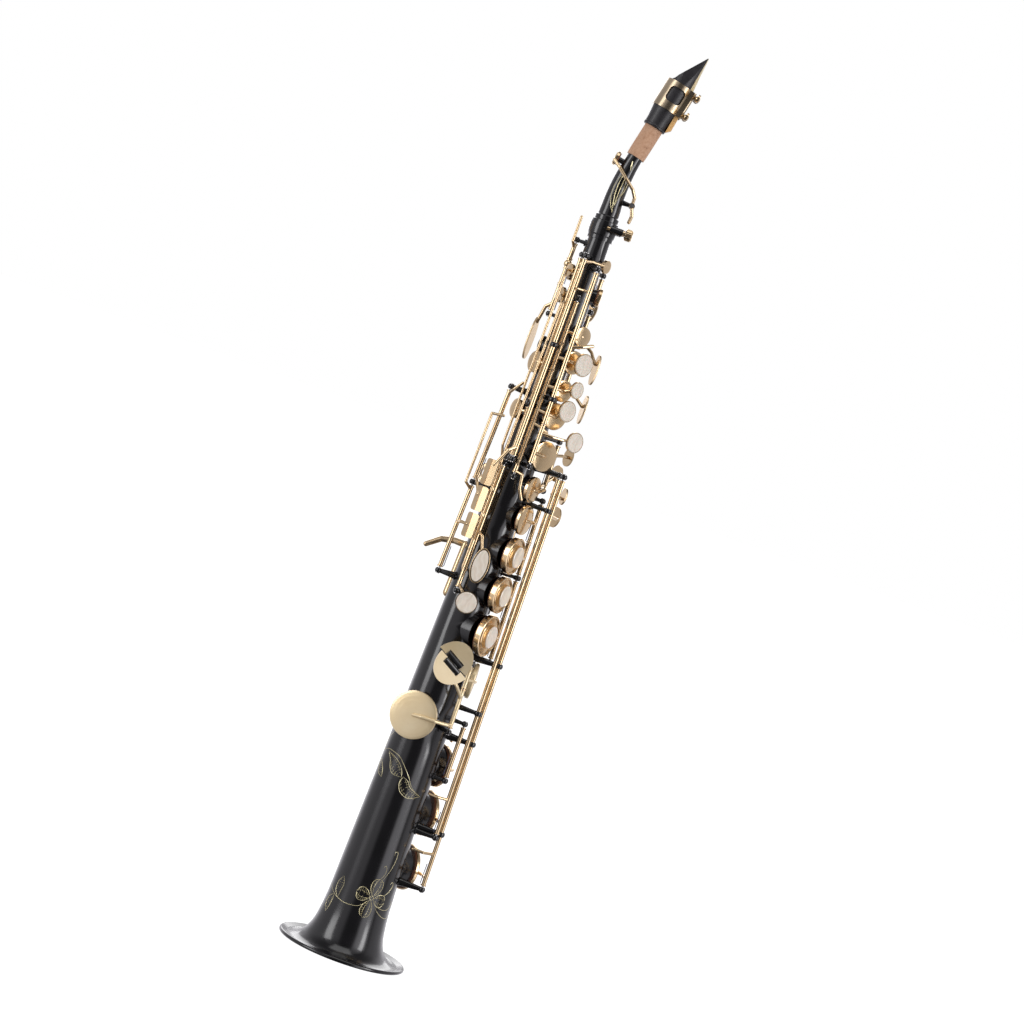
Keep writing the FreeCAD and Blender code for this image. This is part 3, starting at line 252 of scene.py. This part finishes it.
BLACK = black_lacquer()
GOLD = lacquered_brass("key_lacquer", (0.70, 0.52, 0.31), (0.84, 0.66, 0.43), 0.19)
# touch plates of the low E-flat and low C keys: a rougher, part-metallic satin lacquer, in a lighter
# brass than the other keys' that paints in the highlight these plates catch
SATIN_PAINTED_HIGHLIGHT = lacquered_brass("touch_lacquer_painted_highlight", (0.90, 0.73, 0.45), (0.98, 0.84, 0.58), 0.34, 0.6)
ANTIQUE = lacquered_brass("ligature_lacquer", (0.33, 0.27, 0.19), (0.47, 0.39, 0.28), 0.27)
ENGRAVED = lacquered_brass("engraved_brass", (0.66, 0.60, 0.36), (0.84, 0.79, 0.52), 0.45)
PEARL = mother_of_pearl()
LEATHER = pad_leather()
CORK = cork()
CANE = cane()
RUBBER = hard_rubber()
PLASTIC = black_plastic()
STEEL = steel("rod_steel", (0.48, 0.47, 0.47), (0.66, 0.65, 0.64))
BLUED = steel("blued_spring_steel", (0.10, 0.12, 0.20), (0.20, 0.23, 0.34))

# nodes with one material all over; low_eb_key holds a pad, which gets the key's satin brass with its
# painted highlight too
NODE_MATERIALS = {
    "body_tube": BLACK, "neck_receiver": BLACK, "posts": BLACK, "neck_tube": BLACK,
    "pivot_rods": STEEL, "neck_octave_pin": STEEL, "needle_springs": BLUED,
    "neck_cork": CORK, "reed": CANE, "mouthpiece": RUBBER, "thumb_rest": PLASTIC,
    "low_c_roller": PLASTIC, "low_eb_roller": PLASTIC, "ligature": ANTIQUE,
    "ligature_screw_upper": GOLD, "ligature_screw_lower": GOLD,
    "low_eb_key": SATIN_PAINTED_HIGHLIGHT, "low_c_key": SATIN_PAINTED_HIGHLIGHT,
}


# ---- solids of a node ----------------------------------------------------------------------
def coords_of(obj):
    co = np.empty(len(obj.data.vertices) * 3)
    obj.data.vertices.foreach_get("co", co)
    return co.reshape(-1, 3)


def solids_of(obj):
    """Splits a mesh into its closed solids: a list of (polygon indices, vertex coordinates).

    The polygons of one solid follow each other, so a solid ends where no edge is left open."""
    co = coords_of(obj)
    _, same = np.unique(np.round(co, 6), axis=0, return_inverse=True)
    same = same.ravel()
    solids, start, still_open = [], 0, set()
    for index, polygon in enumerate(obj.data.polygons):
        corners = same[list(polygon.vertices)]
        for one, other in zip(corners, np.roll(corners, -1)):
            if one != other:
                still_open ^= {(min(one, other), max(one, other))}
        if not still_open:
            polys = np.arange(start, index + 1)
            used = sorted({v for k in polys for v in obj.data.polygons[k].vertices})
            solids.append((polys, co[used]))
            start = index + 1
    return solids


def axis_distance(co):
    return float(np.hypot(co[:, 0].mean(), co[:, 1].mean()))


def paint(obj, mats, index):
    obj.data.materials.clear()
    for mat in mats:
        obj.data.materials.append(mat)
    obj.data.polygons.foreach_set("material_index", index)


def paint_nodes():
    """Gives each node its finish.

    In a key that also holds a pad, or a pad and a pearl, the brass is the first solid. Of the
    others the pad is the one nearer the body's axis."""
    for name, obj in NODES.items():
        index = np.zeros(len(obj.data.polygons), dtype=np.int32)
        if name.endswith("_pad"):
            mats = [LEATHER]
        elif name.endswith("_pearl"):
            mats = [PEARL]
        elif name in NODE_MATERIALS:
            mats = [NODE_MATERIALS[name]]
        else:
            mats = [GOLD, LEATHER, PEARL]
            insets = sorted(solids_of(obj)[1:], key=lambda solid: axis_distance(solid[1]))
            for kind, (polys, _) in enumerate(insets, start=1):
                index[polys] = kind
        paint(obj, mats, index)


paint_nodes()


# ---- mesh pieces -----------------------------------------------------------------------------
SHARP_ANGLE = math.radians(35)


def mesh_of(name, bm):
    bmesh.ops.recalc_face_normals(bm, faces=bm.faces)
    mesh = bpy.data.meshes.new(name)
    bm.to_mesh(mesh)
    bm.free()
    return mesh


def piece(name, bm, body, material):
    """Adds a smooth-shaded mesh piece that rides on a body. Without faces there is no piece."""
    if not bm.verts:
        bm.free()
        return
    mesh = mesh_of(name, bm)
    obj = bpy.data.objects.new(name, mesh)
    bpy.context.scene.collection.objects.link(obj)
    mesh.materials.append(material)
    for polygon in mesh.polygons:
        polygon.use_smooth = True
    mesh.set_sharp_from_angle(angle=SHARP_ANGLE)
    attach(obj, body)


def circle(radius, sides, height=0.0):
    turns = [math.tau * k / sides for k in range(sides)]
    return [Vector((radius * math.cos(t), radius * math.sin(t), height)) for t in turns]


def lathe(bm, profile, place, sides=20):
    """Closed solid of revolution: profile is (radius, height) pairs from axis to axis."""
    rings = []
    for radius, height in profile:
        ring = circle(radius, sides, height) if radius else [up(height)]
        rings.append([bm.verts.new(place @ corner) for corner in ring])
    for low, high in zip(rings, rings[1:]):
        for k in range(sides):
            n = (k + 1) % sides
            if len(low) == 1:
                bm.faces.new((low[0], high[n], high[k]))
            elif len(high) == 1:
                bm.faces.new((low[k], low[n], high[0]))
            else:
                bm.faces.new((low[k], low[n], high[n], high[k]))


def place_along(point, axis):
    """Matrix whose local Z points along an axis from a point."""
    return Matrix.Translation(point) @ axis.to_track_quat("Z", "Y").to_matrix().to_4x4()


# ---- engraving ---------------------------------------------------------------------------------
RIDGE_RISE = 0.09 * MM
RIDGE_SINK = 0.03 * MM
RIDGE_TIP = 0.25         # width at a ridge's ends, as a share of its full width
LINE_WIDTH = 0.52 * MM
NECK_LINE_WIDTH = 0.62 * MM
HATCH_WIDTH = 0.24 * MM
HATCH_REACH = (0.32, 0.44)   # how far short and long hatch lines go across a leaf
LEAF_STEPS = 10
PETAL_FOLD = 0.28        # how far a petal's second edge lies inside its outline
RAY_START = 80 * MM      # distance from the body's axis, outside every part

# a petal's outline as shares of its length and of its half width
PETAL = [(0.0, 0.0), (0.16, 0.55), (0.42, 0.94), (0.70, 1.0), (0.90, 0.66), (1.0, 0.0)]
PETAL_ROOT = 1.6         # millimetres from the flower's centre
PETAL_HATCHES = 7


class Skin:
    """Outer surface of a node, found by looking at it from outside."""

    def __init__(self, node):
        mesh = NODES[node].data
        self.tree = BVHTree.FromPolygons([v.co for v in mesh.vertices],
                                         [p.vertices for p in mesh.polygons])

    def hit(self, start, aim):
        """Point and normal where a ray from start towards aim first meets the node."""
        point, normal, _, _ = self.tree.ray_cast(start, (aim - start).normalized())
        if point is None:
            return None
        if normal.dot(aim - start) > 0:
            normal = -normal
        return point, normal


def ribbon(bm, spots, width):
    """Low ridge through spots, which are (point, normal) pairs; its ends taper to a point."""
    count = len(spots)
    rows = []
    for k, (point, normal) in enumerate(spots):
        ahead = spots[min(k + 1, count - 1)][0] - spots[max(k - 1, 0)][0]
        across = normal.cross(ahead).normalized()
        swell = math.sin(math.pi * (k + 0.5) / count) ** 0.5
        half = width / 2 * (RIDGE_TIP + (1 - RIDGE_TIP) * swell)
        rows.append([bm.verts.new(point - across * half - normal * RIDGE_SINK),
                     bm.verts.new(point + normal * RIDGE_RISE),
                     bm.verts.new(point + across * half - normal * RIDGE_SINK)])
    for low, high in zip(rows, rows[1:]):
        for j in range(3):
            n = (j + 1) % 3
            bm.faces.new((low[j], low[n], high[n], high[j]))
    bm.faces.new(rows[0])
    bm.faces.new(rows[-1][::-1])


def smooth_line(points, steps=8):
    """Catmull-Rom curve through flat points."""
    pts = [Vector(p) for p in points]
    pts = [pts[0] * 2 - pts[1]] + pts + [pts[-1] * 2 - pts[-2]]
    line = []
    for a, b, c, d in zip(pts, pts[1:], pts[2:], pts[3:]):
        for k in range(steps):
            t = k / steps
            line.append(0.5 * (2 * b + (c - a) * t + (2 * a - 5 * b + 4 * c - d) * t ** 2
                               + (3 * b - a - 3 * c + d) * t ** 3))
    line.append(pts[-2])
    return line


class Engraver:
    """Draws ridges on a surface. locate turns a flat point into a point and a normal there."""

    def __init__(self, locate):
        self.locate = locate
        self.bm = bmesh.new()

    def line(self, flat, width=LINE_WIDTH):
        spots = [spot for spot in (self.locate(p) for p in flat) if spot]
        if len(spots) > 1:
            ribbon(self.bm, spots, width)

    def stem(self, points, width=LINE_WIDTH, steps=8):
        self.line(smooth_line(points, steps), width)

    def leaf(self, upper, lower, hatches, double=0.0):
        """Leaf between two edges that share both ends, with hatch lines along both edges.

        double is how far a second line lies inside each edge, as a share of the way across."""
        edges = [smooth_line(edge, LEAF_STEPS) for edge in (upper, lower)]
        for edge in edges:
            self.line(edge)
        one, other = (self.even(edge, hatches + 4) for edge in edges)
        if double:
            for edge, far in ((one, other), (other, one)):
                self.line([e.lerp(f, double) for e, f in zip(edge, far)][1:-1], HATCH_WIDTH)
        for edge, far in ((one, other), (other, one)):
            for k in range(2, hatches + 2):
                reach = HATCH_REACH[k % 2]
                self.line([edge[k].lerp(far[k - 1], reach * j / 3) for j in range(4)],
                          HATCH_WIDTH)

    @staticmethod
    def even(line, count):
        """The same curve as points at even distances."""
        lengths = [0.0]
        for a, b in zip(line, line[1:]):
            lengths.append(lengths[-1] + (b - a).length)
        result, j = [], 0
        for k in range(count):
            goal = lengths[-1] * k / (count - 1)
            while j < len(line) - 2 and lengths[j + 1] < goal:
                j += 1
            span = max(lengths[j + 1] - lengths[j], 1e-9)
            result.append(line[j].lerp(line[j + 1], (goal - lengths[j]) / span))
        return result

    def petal(self, angle, tip, width):
        """Rounded petal that points from the centre at an angle, with a double edge."""
        along = Vector((math.cos(math.radians(angle)), math.sin(math.radians(angle))))
        across = Vector((-along.y, along.x))
        edges = []
        for sign in (1, -1):
            edges.append([along * (PETAL_ROOT + (tip - PETAL_ROOT) * t)
                          + across * (sign * w * width / 2) for t, w in PETAL])
        self.leaf(edges[0], edges[1], PETAL_HATCHES, PETAL_FOLD)

    def ring(self, radius, width=LINE_WIDTH):
        self.line([Vector((radius * math.cos(t), radius * math.sin(t)))
                   for t in np.linspace(0, math.tau, 20)], width)


def on_body(skin, heading, height):
    """Locates flat points, which are (arc, height) in millimetres from a heading and a height."""
    def locate(flat):
        level = up((height + flat[1]) * MM)
        first, _ = skin.hit(out(heading) * RAY_START + level, level)
        turn = heading + math.degrees(flat[0] * MM / math.hypot(first.x, first.y))
        return skin.hit(out(turn) * RAY_START + level, level)
    return locate


def engrave_body():
    """A four-petalled flower low on the bell and a double leaf above it, facing the camera."""
    skin = Skin("body_tube")
    flower = Engraver(on_body(skin, VIEW_HEADING + 20.0, 45.5))
    for angle, tip, width in ((82, 14.4, 8.4), (172, 11.6, 9.4), (262, 14.6, 8.0), (-6, 11.4, 8.8)):
        flower.petal(angle, tip, width)
    flower.ring(1.5)
    flower.ring(0.6, HATCH_WIDTH)
    flower.stem([(1.0, 13.5), (3.4, 17.0), (4.0, 21.5), (2.6, 24.2), (1.2, 22.6)])
    flower.stem([(2.6, 12.0), (6.0, 19.0), (8.6, 27.0), (8.6, 34.6), (6.2, 35.2), (6.4, 32.4)])
    flower.stem([(9.0, 3.4), (12.6, 7.0), (14.6, 11.6), (13.0, 14.0), (11.4, 12.2)])
    flower.stem([(-2.6, -3.6), (-7.0, -7.6), (-12.5, -9.0), (-18.0, -9.2), (-24.0, -8.1),
                 (-31.0, -5.6), (-38.5, -1.8)])
    flower.leaf([(-24.0, -8.1), (-28.6, -3.4), (-28.4, 2.6), (-24.6, 7.4)],
                [(-24.0, -8.1), (-23.4, -3.4), (-22.6, 2.0), (-24.6, 7.4)], 7)
    flower.leaf([(-28.0, -7.0), (-33.4, -10.0), (-34.6, -15.4), (-31.4, -20.6)],
                [(-28.0, -7.0), (-28.4, -11.4), (-29.2, -16.0), (-31.4, -20.6)], 6)
    flower.stem([(4.6, -4.0), (8.6, -5.8), (13.6, -6.6), (18.4, -5.6), (21.6, -2.2),
                 (20.0, 0.4)])
    flower.stem([(4.6, -5.6), (8.6, -9.0), (14.0, -11.6), (20.0, -12.4), (24.0, -10.6)])
    piece("bell_flower_engraving", flower.bm, "root", ENGRAVED)

    leaf = Engraver(on_body(skin, VIEW_HEADING, 134.0))
    leaf.stem([(-25.6, 10.6), (-19.6, 12.6), (-13.4, 12.2), (-7.6, 10.6), (-3.0, 6.6),
               (2.6, 0.4), (8.6, -7.4), (17.0, -11.6)])
    leaf.leaf([(-18.6, 11.2), (-12.0, 9.6), (-6.4, 6.6), (-3.0, 2.4), (-1.4, -2.4)],
              [(-18.6, 11.2), (-14.6, 6.6), (-12.4, 1.6), (-8.6, -2.2), (-1.4, -2.4)], 9, 0.2)
    leaf.leaf([(-0.4, -1.6), (3.6, -3.4), (7.4, -7.6), (17.0, -11.6)],
              [(-0.4, -1.6), (-1.6, -6.4), (1.0, -12.2), (8.0, -14.8), (17.0, -11.6)], 9, 0.2)
    leaf.leaf([(-26.0, 3.6), (-22.0, 1.6), (-18.4, -2.4), (-16.6, -7.6)],
              [(-26.0, 3.6), (-25.6, -1.6), (-22.0, -5.8), (-16.6, -7.6)], 6)
    leaf.stem([(-25.6, 10.6), (-29.0, 15.0), (-28.0, 19.8), (-24.6, 21.8), (-20.8, 25.0)])
    leaf.stem([(-25.6, 10.6), (-32.0, 7.4), (-36.0, 1.0)])
    piece("bell_leaf_engraving", leaf.bm, "root", ENGRAVED)


# edges of the neck's blades as (across, height) points in millimetres
NECK_BLADES = [
    [(1.8, 550.5), (-1.1, 555.6), (-2.8, 561.8), (-3.2, 567.8), (-2.0, 573.8), (0.6, 579.5)],
    [(1.8, 550.5), (0.4, 556.6), (-0.6, 563.6), (-0.6, 571.0), (0.6, 579.5)],
    [(1.4, 555.6), (1.3, 563.0), (1.7, 570.4), (2.6, 578.1)],
    [(1.4, 555.6), (3.0, 562.6), (3.9, 569.6), (2.6, 578.1)],
    [(2.8, 561.4), (4.6, 566.4), (5.4, 571.6), (4.5, 576.6)],
    [(3.2, 589.1), (3.7, 585.8), (5.2, 582.8)],
    [(3.2, 589.1), (3.2, 585.4), (4.0, 581.8)],
]


def engrave_neck():
    """Long blades along the side of the neck that faces the camera."""
    skin = Skin("neck_tube")
    view, side = out(VIEW_HEADING), out(VIEW_HEADING + 90)

    def locate(flat):
        start = view * RAY_START + side * (flat[0] * MM) + up(flat[1] * MM)
        return skin.hit(start, start - view)

    blades = Engraver(locate)
    for curve in NECK_BLADES:
        blades.stem(curve, NECK_LINE_WIDTH, 6)
    piece("neck_blade_engraving", blades.bm, "neck", ENGRAVED)


engrave_body()
engrave_neck()


# ---- small fittings ------------------------------------------------------------------------------
# screw head as (radius, height) in millimetres, and its distance from the rod's end
SCREW_HEAD = [(0, 0), (1.45, 0), (1.45, 0.32), (1.25, 0.52), (0.5, 0.62), (0, 0.62)]
SCREW_GAP = 0.1 * MM

TUBE_SPAN = 2.4 * MM         # no hinge tube reaches farther than this from its rod's axis
TUBE_POINTS = 24             # fewest points and smallest length of a hinge tube
TUBE_LENGTH = 5.0 * MM
END_SLICE = 0.05 * MM        # points this near the tube's end belong to its end face
END_POINTS = 8
END_BORE = 1.2 * MM          # the end face has to start at least this near the axis

# collar outline as (height beyond the tube's radius, distance from the tube's end) in millimetres
COLLAR = [(0.32, 0.06), (0.50, 0.22), (0.50, 0.78), (0.32, 0.94)]

# keys whose hinge tubes carry a row of turned rings, the distance between the rings, and a ring's
# outline as (height beyond the tube's radius, distance along the tube) in millimetres
RINGED = ("a_key", "b_key", "c_key", "bis_key", "link_key")
RING_PITCH = 6.5 * MM
RING = [(-0.1, -0.45), (0.45, -0.3), (0.45, 0.3), (-0.1, 0.45)]

# bead beside the octave key's ball as (radius, height) in millimetres, and the ball
BEAD = [(0.0, 4.2), (1.9, 4.2), (2.4, 3.9), (2.4, 3.5), (1.9, 3.2)]
BALL_RADIUS = 3.0
BALL_STEPS = 12


def in_metres(profile):
    return [(radius * MM, height * MM) for radius, height in profile]


def hinge_lines():
    """The rods as (lower end, upper end) pairs, from the solids of the rod node."""
    lines = []
    for _, co in solids_of(NODES["pivot_rods"]):
        centre = co.mean(0)
        _, _, turn = np.linalg.svd(co - centre, full_matrices=False)
        along = (co - centre) @ turn[0]
        ends = [Vector(centre + turn[0] * reach) for reach in (along.min(), along.max())]
        lines.append(tuple(sorted(ends, key=lambda end: end.z)))
    return lines


def pivot_screws(rods):
    """A head on each end of each rod, against the post."""
    bm = bmesh.new()
    for low, high in rods:
        axis = (high - low).normalized()
        for end, outward in ((low, -axis), (high, axis)):
            lathe(bm, in_metres(SCREW_HEAD), place_along(end + outward * SCREW_GAP, outward))
    piece("pivot_screw_heads", bm, "root", STEEL)


def tube_ends(obj, low, high):
    """Ends of the hinge tube that a node has on the rod from low to high.

    Each end is (point, direction into the tube, radius). Without a tube there are none."""
    axis = (high - low).normalized()
    co = coords_of(obj) - np.array(low)
    along = co @ np.array(axis)
    off = np.linalg.norm(co - np.outer(along, axis), axis=1)
    near = (off < TUBE_SPAN) & (along > -MM) & (along < (high - low).length + MM)
    if near.sum() < TUBE_POINTS or np.ptp(along[near]) < TUBE_LENGTH:
        return []
    ends = []
    for limit, inward in ((along[near].min(), axis), (along[near].max(), -axis)):
        at_end = near & (np.abs(along - limit) < END_SLICE)
        if off[at_end].min() <= END_BORE and at_end.sum() >= END_POINTS:
            ends.append((low + axis * limit, inward, float(off[at_end].max())))
    return ends


def band(bm, outline, radius, place):
    """Closed ring round a tube of a radius."""
    profile = [(radius + rise * MM, along * MM) for rise, along in outline]
    lathe(bm, [(0.0, profile[0][1])] + profile + [(0.0, profile[-1][1])], place)


def hinge_collars(rods):
    """A narrow collar round each end of each key's hinge tube."""
    for name, obj in NODES.items():
        body = obj["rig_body"]
        if body in ("root", "neck") or not name.endswith(("_key", "_lever")):
            continue
        bm = bmesh.new()
        for rod in rods:
            for point, inward, radius in tube_ends(obj, *rod):
                band(bm, COLLAR, radius, place_along(point, inward))
        piece(name + "_collars", bm, body, GOLD)


def tube_rings(rods):
    """Turned rings along the hinge tubes of the left hand stack."""
    for name in RINGED:
        obj = NODES[name]
        bm = bmesh.new()
        for rod in rods:
            ends = tube_ends(obj, *rod)
            if len(ends) < 2:
                continue
            (first, inward, radius), (last, _, _) = ends
            count = int((last - first).length / RING_PITCH)
            for k in range(1, count):
                band(bm, RING, radius, place_along(first.lerp(last, k / count), inward))
        piece(name + "_rings", bm, obj["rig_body"], GOLD)


def octave_ball():
    """Turned ball on the hinge tube of the body octave key, with a bead on each side."""
    joint = JOINTS["body_octave_key_pivot"]
    start = math.acos(BEAD[-1][0] / BALL_RADIUS)
    turns = [start - 2 * start * k / BALL_STEPS for k in range(BALL_STEPS + 1)]
    ball = [(BALL_RADIUS * math.cos(t), -BALL_RADIUS * math.sin(t)) for t in turns]
    profile = [(radius, -height) for radius, height in BEAD] + ball + BEAD[::-1]
    bm = bmesh.new()
    place = place_along(Vector(joint["pos_m"]), Vector(joint["axis"]).normalized())
    lathe(bm, in_metres(profile), place, 32)
    piece("octave_rod_ball", bm, "body_octave_key", GOLD)


RODS = hinge_lines()
pivot_screws(RODS)
hinge_collars(RODS)
tube_rings(RODS)
octave_ball()


# ---- stage, light and camera ---------------------------------------------------------------
MIDDLE = 0.33            # height of the instrument's middle

FLOOR_RADIUS = 40.0
FLOOR_SIDES = 64
FLOOR_DROP = 0.2 * MM    # below the bell's rim
FLOOR_GLOW = 0.97        # makes the floor as white as the backdrop

# bright panels of the sky: heading from the camera, half width inside and out, brightness
SKY_BASE = 0.10
SKY = [(-112, 50, 74, 0.46), (-40, 14, 30, 0.45), (51, 10, 24, 1.5), (122, 30, 52, 0.48),
       (180, 24, 60, 0.38)]
SKY_COLOUR = (0.97, 0.95, 1.0, 1.0)
SKY_FADE = (0.45, 0.95)  # the sky dims between these steepnesses, up and down
SKY_STEEP = 0.22         # what is left of it beyond them
WHITE = (1.0, 1.0, 1.0, 1.0)

# name, heading from the camera, distance, height, width, tallness, power
SOFT_BOXES = [
    ("key_left", -56, 1.5, 0.64, 0.60, 1.1, 7),
    ("key_right", 58, 1.5, 0.64, 0.34, 1.1, 6),
    ("top", 0, 0.6, 1.9, 1.2, 1.2, 6),
    ("rear", 180, 1.5, 0.9, 1.4, 1.0, 8),
]

LENS = 100.0             # millimetres
SENSOR = 36.0
VIEW_WIDTH = 0.7168      # metres across the picture at the instrument
VIEW_SHIFT = 0.0077      # the picture's middle, to the right of the body's axis
VIEW_HEIGHT = 0.33075    # and above the floor
VIEW_LIFT = math.radians(1.5)
VIEW_ROLL = math.radians(20.0)


def floor():
    """Large white disc whose far edge melts into the white backdrop."""
    mesh = bpy.data.meshes.new("floor")
    mesh.from_pydata(circle(FLOOR_RADIUS, FLOOR_SIDES), [], [tuple(range(FLOOR_SIDES))])
    obj = bpy.data.objects.new("floor", mesh)
    bpy.context.scene.collection.objects.link(obj)
    s = Shader("floor_white")
    tone = s.ramp(s.noise(3, 2), [(0.3, (0.30, 0.30, 0.30)), (0.7, (0.32, 0.32, 0.32))])
    s.set(Base_Color=tone, Roughness=0.9, Specular_IOR_Level=0.0,
          Emission_Color=WHITE, Emission_Strength=FLOOR_GLOW)
    obj.data.materials.append(s.mat)
    obj.location.z = -FLOOR_DROP
    obj.visible_glossy = False
    obj.visible_diffuse = False


class Sky:
    """White to the camera. For light and reflections: dim, with tall bright panels."""

    def __init__(self):
        scene_world = bpy.data.worlds.new("studio")
        bpy.context.scene.world = scene_world
        scene_world.use_nodes = True
        self.tree = scene_world.node_tree
        self.tree.nodes.clear()
        self.direction = self.add("ShaderNodeTexCoord").outputs["Generated"]
        lit = self.background(SKY_COLOUR)
        self.tree.links.new(self.math("MULTIPLY", self.panels(), self.fade()),
                            lit.inputs["Strength"])
        path = self.add("ShaderNodeLightPath")
        mix = self.add("ShaderNodeMixShader")
        output = self.add("ShaderNodeOutputWorld")
        self.tree.links.new(path.outputs["Is Camera Ray"], mix.inputs["Fac"])
        self.tree.links.new(lit.outputs["Background"], mix.inputs[1])
        self.tree.links.new(self.background(WHITE).outputs["Background"], mix.inputs[2])
        self.tree.links.new(mix.outputs["Shader"], output.inputs["Surface"])

    def add(self, kind, **values):
        node = self.tree.nodes.new(kind)
        for key, value in values.items():
            setattr(node, key, value)
        return node

    def background(self, colour):
        node = self.add("ShaderNodeBackground")
        node.inputs["Color"].default_value = colour
        return node

    def math(self, operation, one, other=None):
        node = self.add("ShaderNodeMath", operation=operation)
        self.tree.links.new(one, node.inputs[0])
        if other is not None:
            self.tree.links.new(other, node.inputs[1])
        return node.outputs["Value"]

    def vector_math(self, operation, one, constant=None):
        node = self.add("ShaderNodeVectorMath", operation=operation)
        self.tree.links.new(one, node.inputs[0])
        if constant is not None:
            node.inputs[1].default_value = constant
        return node

    def step(self, value, near, far, low, high):
        """Smooth step from low to high between near and far."""
        node = self.add("ShaderNodeMapRange", interpolation_type="SMOOTHSTEP")
        for key, number in (("From Min", near), ("From Max", far), ("To Min", low), ("To Max", high)):
            node.inputs[key].default_value = number
        self.tree.links.new(value, node.inputs["Value"])
        return node.outputs["Result"]

    def panels(self):
        """Brightness by heading."""
        flat = self.vector_math("MULTIPLY", self.direction, (1, 1, 0)).outputs["Vector"]
        level = self.vector_math("NORMALIZE", flat).outputs["Vector"]
        base = self.add("ShaderNodeValue").outputs["Value"]
        base.default_value = SKY_BASE
        total = base
        for heading, inner, outer, gain in SKY:
            towards = self.vector_math("DOT_PRODUCT", level, out(VIEW_HEADING + heading))
            panel = self.step(towards.outputs["Value"], math.cos(math.radians(outer)),
                              math.cos(math.radians(inner)), 0.0, gain)
            total = self.math("ADD", total, panel)
        return total

    def fade(self):
        """Share of the brightness that is left by steepness."""
        tilt = self.add("ShaderNodeSeparateXYZ")
        self.tree.links.new(self.direction, tilt.inputs["Vector"])
        return self.step(self.math("ABSOLUTE", tilt.outputs["Z"]), *SKY_FADE, 1.0, SKY_STEEP)


def soft_box(name, heading, distance, height, width, tall, power):
    light = bpy.data.lights.new(name, "AREA")
    light.shape = "RECTANGLE"
    light.size = width
    light.size_y = tall
    light.energy = power
    obj = bpy.data.objects.new(name, light)
    bpy.context.scene.collection.objects.link(obj)
    obj.location = out(VIEW_HEADING + heading) * distance + up(height)
    aim = up(MIDDLE) - obj.location
    obj.rotation_euler = aim.to_track_quat("-Z", "Y").to_euler()


def camera():
    """Square view from the player's right front, rolled so that the instrument leans."""
    right = out(VIEW_HEADING + 90)
    towards = out(VIEW_HEADING) * math.cos(VIEW_LIFT) + up(math.sin(VIEW_LIFT))
    level_up = towards.cross(right)
    cam_right = right * math.cos(VIEW_ROLL) + level_up * math.sin(VIEW_ROLL)
    cam_up = level_up * math.cos(VIEW_ROLL) - right * math.sin(VIEW_ROLL)
    data = bpy.data.cameras.new("camera")
    data.lens = LENS
    data.sensor_width = SENSOR
    obj = bpy.data.objects.new("camera", data)
    bpy.context.scene.collection.objects.link(obj)
    place = up(VIEW_HEIGHT) + right * VIEW_SHIFT + towards * (VIEW_WIDTH * LENS / SENSOR)
    turn = Matrix((cam_right, cam_up, towards)).transposed().to_4x4()
    obj.matrix_world = Matrix.Translation(place) @ turn
    bpy.context.scene.camera = obj


floor()
Sky()
for box in SOFT_BOXES:
    soft_box(*box)
camera()
bpy.context.scene.view_settings.view_transform = "Standard"
